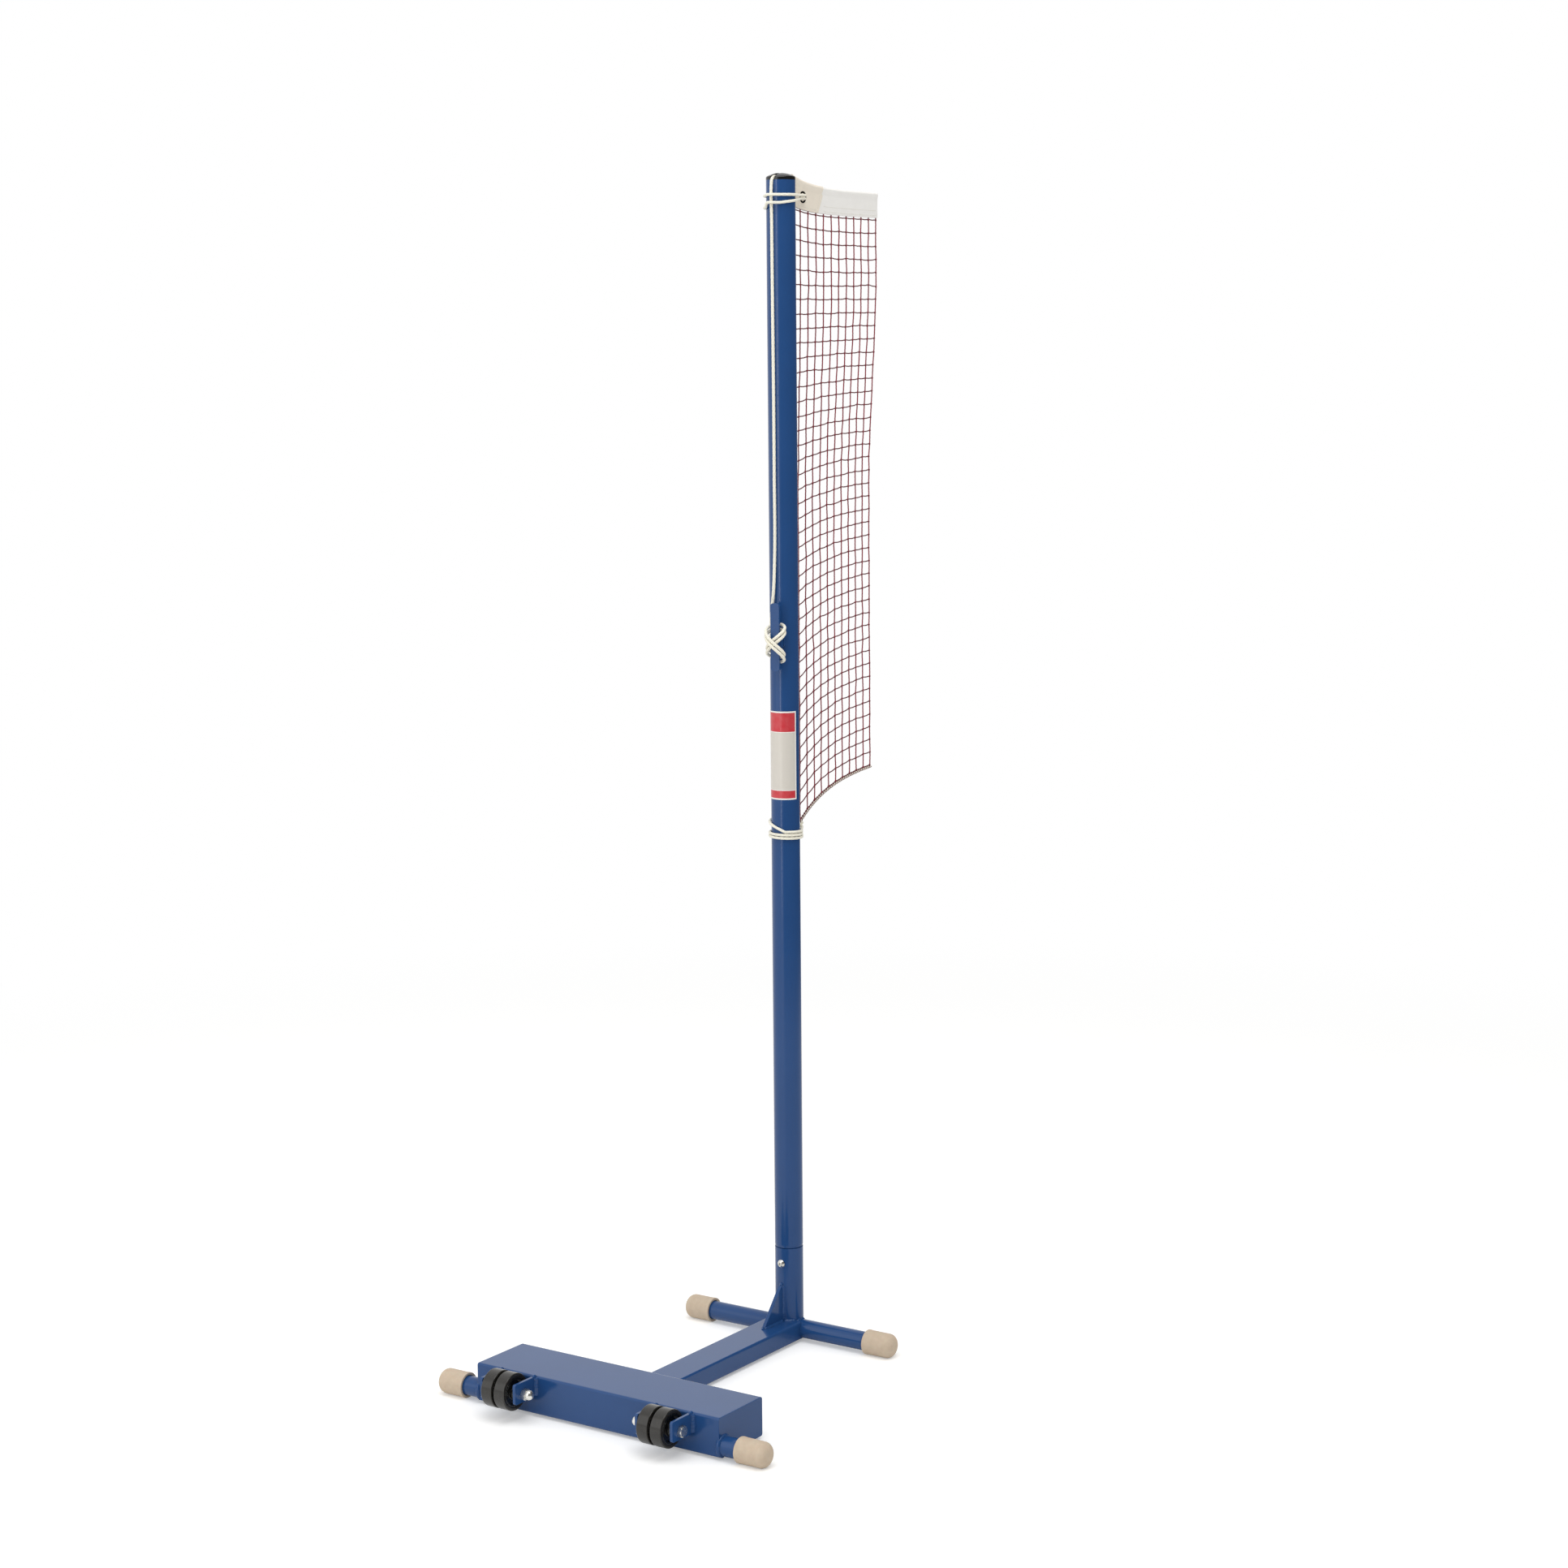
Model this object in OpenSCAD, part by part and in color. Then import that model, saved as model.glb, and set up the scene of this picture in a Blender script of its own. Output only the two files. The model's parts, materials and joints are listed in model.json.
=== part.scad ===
// Wheel-away net post: a weighted steel base, a lift-out post with a rope cleat, and the end of its net
// The post's axis is Z, the net runs along +X, and the weight box lies behind the post at -X

/* [Post] */
// Height of the post's top above the floor
post_h = 1550; // [1400:1:1700]
// Outside diameter of the post and of its socket
post_od = 38; // [36:0.5:42]
// Wall of the post and socket tubes
post_wall = 2; // [1.5:0.1:3]
// Height of the joint between the post and its socket
joint_z = 128.5; // [112:0.5:160]
// Rounding of the post's lower edge at the joint
joint_round = 1.6; // [0.5:0.1:1.8]
// Height of the round at the tube's foot
joint_rise = 5; // [0.5:0.5:8]
// Length of spigot below the joint
spigot_down = 96; // [70:1:104]
// Length of spigot held in the post above the joint
spigot_up = 80; // [40:1:160]
// Wall of the spigot
spigot_wall = 3; // [2:0.1:5]

/* [Cap] */
// Height of the cap above the post tube
cap_h = 9; // [8:0.5:14]
// Rise of the cap's domed top
cap_dome = 5; // [2:0.5:5.5]
// Radius round the cap's top edge
cap_edge = 2.5; // [1:0.5:3]
// Length of the cap's plug inside the tube
plug_len = 24; // [14:1:40]
// Wall of the hollow plug
plug_wall = 2.5; // [1.5:0.1:4]
// Width of the cord groove across the top
groove_w = 6; // [5:0.1:8]
// Depth of the cord groove
groove_deep = 7.4; // [6:0.1:7.8]
// Radius that leads the cord from the groove down the post
groove_bend = 5.7; // [3:0.1:8]

/* [Lock screw] */
// Distance of the lock screw below the joint
lock_drop = 21; // [15:1:40]
// Thread diameter of the lock screw
lock_d = 6; // [5:0.5:8]
// Diameter of the domed head
lock_head_d = 11; // [9:0.5:14]
// Height of the domed head
lock_head_h = 3.6; // [3:0.1:5]
// Width across flats of the hexagon socket
lock_hex = 4; // [3:0.5:5]
// Depth of the hexagon socket
lock_hex_deep = 2.2; // [1:0.1:2.6]

/* [Base frame] */
// Distance from the post's axis to the outer face of the weight box
base_reach = 432; // [330:1:600]
// Width of the beam
beam_w = 50; // [40:1:60]
// Height of the beam
beam_h = 25; // [20:1:40]
// Wall of the beam
beam_wall = 2.5; // [1.5:0.1:4]
// Corner radius of the beam
beam_corner = 3; // [2.6:0.1:5]
// Diameter of the tubes that carry the feet
leg_od = 25; // [20:0.5:30]
// Wall of the tubes that carry the feet
leg_wall = 2; // [1.5:0.1:3]
// Half the span over the front feet
front_reach = 167; // [130:1:260]
// Half the span over the rear feet
rear_reach = 254; // [240:1:320]
// Height of the gusset above the beam
gusset_h = 50; // [30:1:70]
// Length of the gusset along the beam
gusset_l = 43; // [30:1:80]
// Thickness of the gusset
gusset_t = 5; // [3:0.5:10]
// Blunt edge left at the gusset's two tips
gusset_nose = 5; // [2:0.5:10]

/* [Weight box] */
// Depth of the box along the beam
box_d = 93; // [70:1:140]
// Width of the box across the beam
box_w = 376; // [340:1:440]
// Height of the box
box_h = 50; // [44:1:80]
// Wall of the box
box_wall = 3; // [2:0.5:5]
// Corner radius of the box section
box_corner = 3.5; // [3.2:0.1:8]
// Distance of the rear foot tubes in from the outer face
leg_inset = 11; // [10:0.5:40]

/* [Rubber feet] */
// Outside diameter of a foot
foot_od = 33; // [31:0.5:40]
// Length of a foot
foot_len = 42; // [30:1:60]
// Thickness of the closed end
foot_end = 5; // [3:0.5:10]
// Rounding of the closed end
foot_round = 9; // [4:0.5:12]
// Depth of the worn flat under a foot
foot_flat = 0.5; // [0.2:0.1:1]

/* [Wheels] */
// Diameter of a wheel
wheel_d = 48; // [40:0.5:49]
// Width of a wheel
wheel_w = 16.5; // [12:0.5:17]
// Thickness of the tyre
tyre_t = 5; // [3:0.5:8]
// Rounding of the tyre's edges
tyre_round = 1.5; // [0.5:0.1:3]
// Radius of the hub boss
hub_r = 8.5; // [7:0.5:10]
// Thickness of the rim under the tyre
rim_t = 3; // [2:0.5:4]
// Depth of the dished side
dish_deep = 3.5; // [1:0.5:5]
// Gap between the two wheels of a pair
wheel_gap = 3.8; // [2:0.1:6]
// Distance of a pair of lugs from the beam's centre line
pair_y = 121; // [90:1:130]
// Distance that the wheels sit from the middle of their lugs, toward +Y
wheel_shift = 2.8; // [0:0.1:4]
// Distance of the axle out from the box
axle_out = 25; // [25:0.5:32]
// Height of the axle above the floor
axle_z = 38; // [37:0.5:41]
// Clear width between the two lugs of a pair
lug_gap = 48.5; // [48:0.5:60]
// Thickness of a lug
lug_t = 4; // [3:0.5:8]
// Length of a lug out from the box
lug_l = 41.5; // [40:0.5:60]
// Height of a lug
lug_h = 26; // [25:0.5:32]
// Corner radius of a lug
lug_corner = 3; // [1:0.5:6]
// Diameter of the axle bolt
bolt_d = 8; // [6:0.5:10]
// Width across flats of the bolt head and nut
bolt_af = 13; // [11:0.5:15]
// Height of the bolt head
head_t = 5.5; // [4:0.1:8]
// Height of the dome nut
nut_t = 15; // [14:0.5:18]
// Height of the dome nut's hexagon
nut_hex = 6.5; // [5:0.5:8]
// Length of bolt inside the dome nut
bolt_in = 10; // [6:0.5:10]

/* [Cleat] */
// Height of the cleat's middle above the floor
cleat_z = 955; // [700:1:1100]
// Height of the cleat bar
cleat_h = 89; // [80:1:110]
// Width of the cleat bar
cleat_w = 12; // [10:0.5:13]
// Thickness of the cleat bar
cleat_t = 5; // [4:0.5:6]
// Space between the post and the bar
cleat_gap = 12; // [11.5:0.5:14]
// Height of the stem that carries the bar
stem_h = 20; // [14:1:22]
// Drop of the stem's middle below the bar's middle
stem_drop = 4; // [0:0.5:8]
// Turn of the cleat round the post, away from the line of the net
cleat_turn = 14; // [-20:1:20]

/* [Net] */
// Drop of the tape's settled top edge below the post's top
tape_drop = 17; // [12:0.5:30]
// Rise of the tape toward the post, drawn on to the post's axis
tape_rise = 29.5; // [20:0.5:32]
// Distance over which that rise fades
tape_fade = 40; // [36:1:50]
// Depth of the folded tape
tape_w = 33.5; // [30:0.5:40]
// Extra depth of the tape toward the post, drawn on to its axis
tape_flare = 11; // [0:0.5:14]
// Thickness of the tape cloth
tape_t = 0.8; // [0.5:0.1:1.2]
// Start of the corner patch
patch_x = 25; // [24:0.5:26]
// End of the corner patch along its top
patch_end = 95; // [80:1:120]
// Slant of the patch's end
patch_slant = 12; // [0:1:20]
// Distance of the eyelet from the post's axis
eyelet_x = 47; // [42:0.5:55]
// Distance of the eyelet below the post's top
eyelet_drop = 29; // [27:0.5:31]
// Radius of the eyelet's hole
eyelet_r = 5; // [4.5:0.1:6]
// Width of the eyelet's flange
eyelet_flange = 2; // [1.2:0.1:3]
// Thickness of the eyelet's metal
eyelet_t = 0.7; // [0.4:0.1:1]
// Distance from the post's axis to the net's edge
net_edge = 26.4; // [25.5:0.1:28]
// Width of a mesh
mesh_w = 18.3; // [17:0.1:20]
// Meshes along the stretch of net
mesh_cols = 11; // [6:1:11]
// Meshes from tape to bottom line
mesh_rows = 21; // [10:1:27]
// Thickness of the netting cord
twine_d = 1.6; // [1:0.1:2]
// Depth of the net below the tape's top edge
net_depth = 771; // [600:1:790]
// Drop of the bottom line toward the post, drawn on to its axis
corner_drop = 94; // [60:1:96]
// Distance over which that drop fades
corner_fade = 74; // [60:1:90]

/* [Cords] */
// Diameter of the head cord
cord_d = 4; // [3:0.1:4.2]
// Diameter of the corner ties
tie_d = 3.5; // [2.5:0.1:3.6]
// Diameter of the bottom line
line_d = 3; // [2:0.1:4]
// Crossings wound on the cleat, as full figures of eight
lash_turns = 2; // [1:1:2]
// Turns of the lower tie round the post
lower_turns = 3; // [2:1:3]

/* [Clearances] */
// Radial clearance of parts that turn or slide
run_fit = 0.08; // [0.02:0.01:0.1]
// Clearance of parts that are pushed or moulded on
seat_fit = 0.05; // [0.02:0.01:0.1]
// Gap that a weld bridges
weld_gap = 0.1; // [0.05:0.05:0.3]
// Side clearance beside a turning wheel
side_fit = 0.2; // [0.1:0.05:0.4]
// Clearance round cords and cloth
soft_gap = 0.3; // [0.3:0.05:0.5]

/* [Hidden] */

$fn = 64;
cut = 1;
nut_ease = 0.5;
paint_blue = [0.14, 0.28, 0.50];
zinc = [0.80, 0.80, 0.78];
steel_grey = [0.45, 0.46, 0.48];
rubber_cream = [0.84, 0.77, 0.64];
wheel_black = [0.06, 0.06, 0.06];
tread_grey = [0.24, 0.24, 0.24];
canvas_beige = [0.84, 0.81, 0.74];
tape_white = [0.95, 0.95, 0.92];
twine_maroon = [0.36, 0.18, 0.18];
cord_cream = [0.93, 0.91, 0.83];
eyelet_dark = [0.12, 0.12, 0.12];

post_r = post_od / 2;
post_ir = post_r - post_wall;
spigot_r = post_ir - run_fit;
tube_top = post_h - cap_h;
lock_z = joint_z - lock_drop;
leg_r = leg_od / 2;
foot_r = foot_od / 2;
leg_z = foot_r - foot_flat;
base_z = leg_z - leg_r;
beam_top = base_z + beam_h;
box_top = base_z + box_h;
box_back = box_d - base_reach;
rear_x = leg_inset - base_reach;
axle_x = -base_reach - axle_out;
wheel_r = wheel_d / 2;
rim_r = wheel_r - tyre_t;
bolt_r = bolt_d / 2;
horn_u = post_r + cleat_gap;
horn_mid = horn_u + cleat_t / 2;
lash_z = cleat_z - stem_drop;
cord_r = cord_d / 2;
tie_r = tie_d / 2;
line_r = line_d / 2;

// Points on an arc in the plane
function arc(c, r, a0, a1, n) = [for (i = [0 : n])
    let (a = a0 + (a1 - a0) * i / n) c + r * [cos(a), sin(a)]];

// Outline of a rectangle with round corners, from its low corner
function round_rect(w, h, r, n = 5) = concat(
    arc([w - r, r], r, -90, 0, n), arc([w - r, h - r], r, 0, 90, n),
    arc([r, h - r], r, 90, 180, n), arc([r, r], r, 180, 270, n));

function unit(v) = v / norm(v);

// Smooth curve through a list of points, with n steps between neighbours
function smooth_path(p, n) = concat([for (i = [0 : len(p) - 2], s = [0 : n - 1])
    let (a = p[max(i - 1, 0)], b = p[i], c = p[i + 1], d = p[min(i + 2, len(p) - 1)], t = s / n)
    (2 * b + (c - a) * t + (2 * a - 5 * b + 4 * c - d) * t ^ 2 + (3 * b - a - 3 * c + d) * t ^ 3) / 2],
    [p[len(p) - 1]]);

function tangents(p) = [for (i = [0 : len(p) - 1]) unit(p[min(i + 1, len(p) - 1)] - p[max(i - 1, 0)])];

// Side vectors carried along a path without twist
function carried(t, start) = [for (i = 0, v = unit(start - (start * t[0]) * t[0]); i < len(t);
    i = i + 1, v = i < len(t) ? unit(v - (v * t[i]) * t[i]) : v) v];

// Distance from a point to a straight piece of path
function to_piece(q, a, b) = let (d = b - a, s = min(1, max(0, ((q - a) * d) / (d * d))))
    norm(q - a - s * d);

// Least clear gap between stretches of one cord that are not neighbours along it
function least_gap(p, d, skip) = min([for (i = [0 : len(p) - 1], j = [0 : len(p) - 2])
    if (abs(i - j) > skip) to_piece(p[i], p[j], p[j + 1])]) - d;

// Round cord along a path, as triangles
module tube(p, r, sides = 6) {
    t = tangents(p);
    v = carried(t, [0.31, 0.87, 0.38]);
    n = len(p);
    ring = [for (i = [0 : n - 1], s = [0 : sides - 1]) let (a = 360 * s / sides)
        p[i] + r * (cos(a) * v[i] + sin(a) * cross(t[i], v[i]))];
    walls = [for (i = [0 : n - 2], s = [0 : sides - 1])
        let (a = i * sides + s, b = i * sides + (s + 1) % sides)
        each [[a, a + sides, b], [b, a + sides, b + sides]]];
    last = (n - 1) * sides;
    ends = [for (s = [1 : sides - 2]) each [[0, s, s + 1], [last, last + s + 1, last + s]]];
    polyhedron(ring, concat(walls, ends));
}

// Hexagon by its width across flats
module hexagon(af) {
    circle(r = af / 2 / cos(30), $fn = 6);
}

// Shape drawn along +Z laid along +Y from y
module along_y(x, y, z) {
    translate([x, y, z]) rotate([-90, 0, 0]) children();
}

// Drawing in X and Z raised to a thickness across Y
module upright(t) {
    rotate([90, 0, 0]) linear_extrude(t, center = true) children();
}

// Socket tube that receives the spigot
module socket_tube() {
    color(paint_blue) difference() {
        translate([0, 0, base_z]) cylinder(r = post_r, h = joint_z - base_z);
        translate([0, 0, base_z - cut]) cylinder(r = post_ir, h = joint_z - base_z + 2 * cut);
        translate([0, 0, lock_z]) rotate([0, -90, 0]) cylinder(d = lock_d + 2 * run_fit, h = post_od);
    }
}

// Triangular plate between socket and beam
module socket_gusset() {
    x = post_r + weld_gap;
    color(paint_blue) upright(gusset_t) polygon([[-x, beam_top], [-x, beam_top + gusset_h],
        [-x - gusset_nose, beam_top + gusset_h - gusset_nose / 2],
        [-post_r - gusset_l, beam_top + gusset_nose / 2], [-post_r - gusset_l, beam_top]]);
}

// Hollow beam from the socket to the weight box, coped round the socket and the cross tubes
module base_beam() {
    start = post_r / 2;
    color(paint_blue) difference() {
        translate([-start, 0, base_z]) rotate([90, 0, -90]) linear_extrude(-box_back - start) difference() {
            translate([-beam_w / 2, 0]) polygon(round_rect(beam_w, beam_h, beam_corner));
            translate([beam_wall - beam_w / 2, beam_wall])
                polygon(round_rect(beam_w - 2 * beam_wall, beam_h - 2 * beam_wall, beam_corner - beam_wall));
        }
        cylinder(r = post_r + weld_gap, h = joint_z);
        along_y(0, -beam_w, leg_z) cylinder(r = leg_r + weld_gap, h = 2 * beam_w);
    }
}

// Tube that carries a foot, from y to its end inside the foot
module leg_tube(x, y, reach) {
    l = reach - foot_end - y;
    along_y(x, y, leg_z) difference() {
        cylinder(r = leg_r, h = l);
        translate([0, 0, -cut]) cylinder(r = leg_r - leg_wall, h = l + 2 * cut);
    }
}

module cross_tube_left() {
    color(paint_blue) difference() {
        leg_tube(0, 0, front_reach);
        cylinder(r = post_r + weld_gap, h = joint_z);
    }
}

module cross_tube_right() {
    color(paint_blue) mirror([0, 1, 0]) cross_tube_left();
}

// Section of the box, drawn with depth to the right and height up
module box_section(inset, r) {
    translate([inset, inset]) polygon(round_rect(box_d - 2 * inset, box_h - 2 * inset, r));
}

// Rectangular hollow section that holds the ballast
module weight_box() {
    l = box_w - 2 * box_wall;
    color(paint_blue) translate([-base_reach, l / 2, base_z]) rotate([90, 0, 0])
        linear_extrude(l) difference() {
            box_section(0, box_corner);
            box_section(box_wall, box_corner - box_wall);
        }
}

module box_end_left() {
    color(paint_blue) translate([-base_reach, box_w / 2, base_z]) rotate([90, 0, 0])
        linear_extrude(box_wall) box_section(0, box_corner);
}

module box_end_right() {
    color(paint_blue) mirror([0, 1, 0]) box_end_left();
}

// Steel bar that lies on the floor of the box
module ballast_block() {
    inset = box_wall + max(soft_gap, box_corner - box_wall);
    l = box_w - 2 * inset;
    color(steel_grey) translate([-base_reach + inset, -l / 2, base_z + box_wall])
        cube([box_d - 2 * inset, l, box_h - box_wall - inset]);
}

module foot_tube_left() {
    color(paint_blue) leg_tube(rear_x, box_w / 2, rear_reach);
}

module foot_tube_right() {
    color(paint_blue) mirror([0, 1, 0]) foot_tube_left();
}

// Moulded rubber foot, closed and rounded at its outer end and flat where it stands
module rubber_foot(x, reach) {
    color(rubber_cream) difference() {
        along_y(x, reach - foot_len, leg_z) rotate_extrude() difference() {
            polygon(concat([[0, 0], [foot_r, 0]],
                arc([foot_r - foot_round, foot_len - foot_round], foot_round, 0, 90, 8), [[0, foot_len]]));
            translate([0, -cut]) square([leg_r + seat_fit, foot_len - foot_end + cut]);
        }
        translate([x - foot_r, 0, -foot_r]) cube([foot_od, reach + cut, foot_r]);
    }
}

module foot_front_left() {
    rubber_foot(0, front_reach);
}

module foot_front_right() {
    mirror([0, 1, 0]) rubber_foot(0, front_reach);
}

module foot_rear_left() {
    rubber_foot(rear_x, rear_reach);
}

module foot_rear_right() {
    mirror([0, 1, 0]) rubber_foot(rear_x, rear_reach);
}

// Lug plate with its axle hole, from y to y plus its thickness
module wheel_lug(y) {
    color(paint_blue) difference() {
        translate([-base_reach - lug_l, y + lug_t, box_top - lug_h]) rotate([90, 0, 0])
            linear_extrude(lug_t) polygon(concat([[lug_l, 0], [lug_l, lug_h]],
                arc([lug_corner, lug_h - lug_corner], lug_corner, 90, 180, 5),
                arc([lug_corner, lug_corner], lug_corner, 180, 270, 5)));
        along_y(axle_x, y - cut, axle_z) cylinder(r = bolt_r + seat_fit, h = lug_t + 2 * cut);
    }
}

module lug_left_outer() {
    wheel_lug(pair_y + lug_gap / 2);
}

module lug_left_inner() {
    wheel_lug(pair_y - lug_gap / 2 - lug_t);
}

module lug_right_inner() {
    wheel_lug(-pair_y + lug_gap / 2);
}

module lug_right_outer() {
    wheel_lug(-pair_y - lug_gap / 2 - lug_t);
}

// Hexagon bolt through the right pair's lugs, with its head on the outer side
module axle_bolt() {
    grip = lug_gap + 2 * lug_t;
    along_y(axle_x, -pair_y - grip / 2, axle_z) {
        cylinder(r = bolt_r, h = grip + bolt_in);
        intersection() {
            translate([0, 0, -head_t]) linear_extrude(head_t) hexagon(bolt_af);
            rotate_extrude() polygon([[0, -head_t], [bolt_af / 2, -head_t],
                [bolt_af, bolt_af / 2 - head_t], [bolt_af, 0], [0, 0]]);
        }
    }
}

module axle_bolts() {
    color(zinc) {
        axle_bolt();
        mirror([0, 1, 0]) axle_bolt();
    }
}

// Dome nut of the right pair: a hexagon under a round closed end, clear of the bolt inside it
module axle_nut() {
    dome_r = (bolt_af - nut_ease) / 2;
    along_y(axle_x, lug_gap / 2 + lug_t - pair_y, axle_z) difference() {
        union() {
            linear_extrude(nut_hex) hexagon(bolt_af);
            rotate_extrude() polygon(concat([[0, 0], [dome_r, 0]],
                arc([0, nut_t - dome_r], dome_r, 0, 90, 8)));
        }
        translate([0, 0, -cut]) cylinder(r = bolt_r + seat_fit, h = bolt_in + soft_gap + cut);
    }
}

module axle_nuts() {
    color(zinc) {
        axle_nut();
        mirror([0, 1, 0]) axle_nut();
    }
}

// Sleeve on the axle from y, of a length
module sleeve(y, l) {
    along_y(axle_x, y, axle_z) difference() {
        cylinder(r = hub_r - rim_t / 2, h = l);
        translate([0, 0, -cut]) cylinder(r = bolt_r + seat_fit, h = l + 2 * cut);
    }
}

// Sleeves that keep the wheels apart and off the lugs
module axle_spacers() {
    stack = wheel_gap / 2 + wheel_w + side_fit;
    low_l = lug_gap / 2 + wheel_shift - stack;
    high_l = lug_gap / 2 - wheel_shift - stack;
    color(zinc) for (s = [-1, 1]) {
        sleeve(s * pair_y + wheel_shift - wheel_gap / 2 + side_fit, wheel_gap - 2 * side_fit);
        sleeve(s * pair_y - lug_gap / 2, low_l);
        sleeve(s * pair_y + lug_gap / 2 - high_l, high_l);
    }
}

// Wheel body with a dished side, a hub boss and a bore that runs on the bolt
module wheel_body(y) {
    well = rim_r - rim_t - hub_r;
    color(wheel_black) along_y(axle_x, y, axle_z) rotate_extrude() difference() {
        translate([bolt_r + run_fit, 0]) square([rim_r - bolt_r - run_fit, wheel_w]);
        for (z = [-cut, wheel_w - dish_deep]) translate([hub_r, z]) square([well, dish_deep + cut]);
    }
}

// Tyre with rounded edges on the wheel's rim
module tyre(y) {
    r = tyre_round;
    color(tread_grey) along_y(axle_x, y, axle_z) rotate_extrude() polygon(concat(
        [[rim_r + seat_fit, wheel_w], [rim_r + seat_fit, 0]],
        arc([wheel_r - r, r], r, -90, 0, 4), arc([wheel_r - r, wheel_w - r], r, 0, 90, 4)));
}

// Where a wheel starts along Y, for the pair on a side and the wheel on that pair's own side
function wheel_y(pair, side) = pair * pair_y + wheel_shift
    + (side > 0 ? wheel_gap / 2 : -wheel_gap / 2 - wheel_w);

module wheel_left_outer() {
    wheel_body(wheel_y(1, 1));
}

module wheel_left_inner() {
    wheel_body(wheel_y(1, -1));
}

module wheel_right_inner() {
    wheel_body(wheel_y(-1, 1));
}

module wheel_right_outer() {
    wheel_body(wheel_y(-1, -1));
}

module tyre_left_outer() {
    tyre(wheel_y(1, 1));
}

module tyre_left_inner() {
    tyre(wheel_y(1, -1));
}

module tyre_right_inner() {
    tyre(wheel_y(-1, 1));
}

module tyre_right_outer() {
    tyre(wheel_y(-1, -1));
}

// Domed socket screw through the socket's wall, its tip just clear of the spigot
module lock_screw() {
    dome_r = (lock_head_h ^ 2 + (lock_head_d / 2) ^ 2) / (2 * lock_head_h);
    tip = spigot_r + soft_gap;
    seat = post_r + soft_gap;
    color(zinc) translate([0, 0, lock_z]) rotate([0, -90, 0]) difference() {
        union() {
            translate([0, 0, tip]) cylinder(d = lock_d, h = seat - tip + soft_gap);
            translate([0, 0, seat]) intersection() {
                cylinder(d = lock_head_d, h = lock_head_h);
                translate([0, 0, lock_head_h - dome_r]) sphere(r = dome_r);
            }
        }
        translate([0, 0, seat + lock_head_h - lock_hex_deep])
            linear_extrude(lock_head_h) hexagon(lock_hex);
    }
}

// Space that the head cord takes across the post's top, with a round lead down the -X side
module cord_groove() {
    floor_z = post_h - groove_deep;
    lead_x = groove_bend - post_r;
    upright(groove_w) {
        translate([-post_od, floor_z]) square([2 * post_od, groove_deep + cut]);
        difference() {
            translate([-post_od, floor_z - groove_bend]) square([post_od + lead_x, groove_bend + cut]);
            translate([lead_x, floor_z - groove_bend]) circle(r = groove_bend);
        }
    }
}

// Post tube, rounded in at its foot and notched at its top for the cord
module post_tube() {
    foot = [for (a = [-90:15:0]) [post_r - joint_round * (1 - cos(a)), joint_z + joint_rise * (1 + sin(a))]];
    color(paint_blue) difference() {
        rotate_extrude() polygon(concat([[post_ir, joint_z]], foot,
            [[post_r, tube_top], [post_ir, tube_top]]));
        cord_groove();
    }
}

// Spigot that is fixed in the post and drops into the socket
module post_spigot() {
    color(steel_grey) translate([0, 0, joint_z - spigot_down]) difference() {
        cylinder(r = spigot_r, h = spigot_down + spigot_up);
        translate([0, 0, -cut]) cylinder(r = spigot_r - spigot_wall, h = spigot_down + spigot_up + 2 * cut);
    }
}

// Moulded cap: a hollow plug in the tube under a domed top with a round edge
module top_cap() {
    dome_r = (post_r ^ 2 + cap_dome ^ 2) / (2 * cap_dome);
    dome_z = post_h - dome_r;
    edge_x = post_r - cap_edge;
    edge_z = dome_z + sqrt((dome_r - cap_edge) ^ 2 - edge_x ^ 2);
    meet = atan2(edge_z - dome_z, edge_x);
    steps = 6;
    color(wheel_black) difference() {
        rotate_extrude() difference() {
            polygon(concat([[0, tube_top - plug_len], [post_ir - seat_fit, tube_top - plug_len],
                [post_ir - seat_fit, tube_top], [post_r, tube_top]],
                arc([edge_x, edge_z], cap_edge, 0, meet, steps), [for (i = [1 : steps])
                    let (a = meet + (90 - meet) * i / steps) [dome_r * cos(a), dome_z + dome_r * sin(a)]]));
            translate([0, tube_top - plug_len - cut])
                square([post_ir - seat_fit - plug_wall, plug_len - groove_bend + cut]);
        }
        cord_groove();
    }
}

// Flat-bar cleat on its stem, turned a little round the post
module rope_cleat() {
    color(paint_blue) rotate(180 + cleat_turn) {
        difference() {
            translate([0, -cleat_w / 2, lash_z - stem_h / 2]) cube([horn_u, cleat_w, stem_h]);
            translate([0, 0, lash_z - stem_h]) cylinder(r = post_r + weld_gap, h = 2 * stem_h);
        }
        translate([horn_u, 0, cleat_z - cleat_h / 2]) rotate([90, 0, 90]) linear_extrude(cleat_t)
            translate([-cleat_w / 2, 0]) polygon(round_rect(cleat_w, cleat_h, cleat_w / 3));
    }
}

// Top edge, folded depth and bottom edge of the net along X
function tape_top(x) = post_h - tape_drop + tape_rise * exp(-x / tape_fade);
function tape_depth(x) = tape_w + tape_flare * exp(-x / tape_fade);
function net_bottom(x) = post_h - tape_drop - net_depth - corner_drop * exp(-x / corner_fade);
hem_r = cord_r + soft_gap;
hem_c = hem_r + tape_t;
hem_taper = 2 * hem_c;
ply_gap = twine_d / 2 + soft_gap / 2;
net_tuck = 6;
tape_start = patch_x + 2;
net_end = net_edge + mesh_w * mesh_cols;
tape_end = net_end + twine_d;

// Half-section of a folded cloth: across, fixed depth, and whether it reaches the lower edge
function fold_side(r, h) = concat([[h, 0, 1], [h, hem_c + hem_taper, 0]],
    [for (a = [0 : 36 : 180]) [r * cos(a), hem_c - r * sin(a), 0]],
    [[-h, hem_c + hem_taper, 0], [-h, 0, 1]]);

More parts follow.
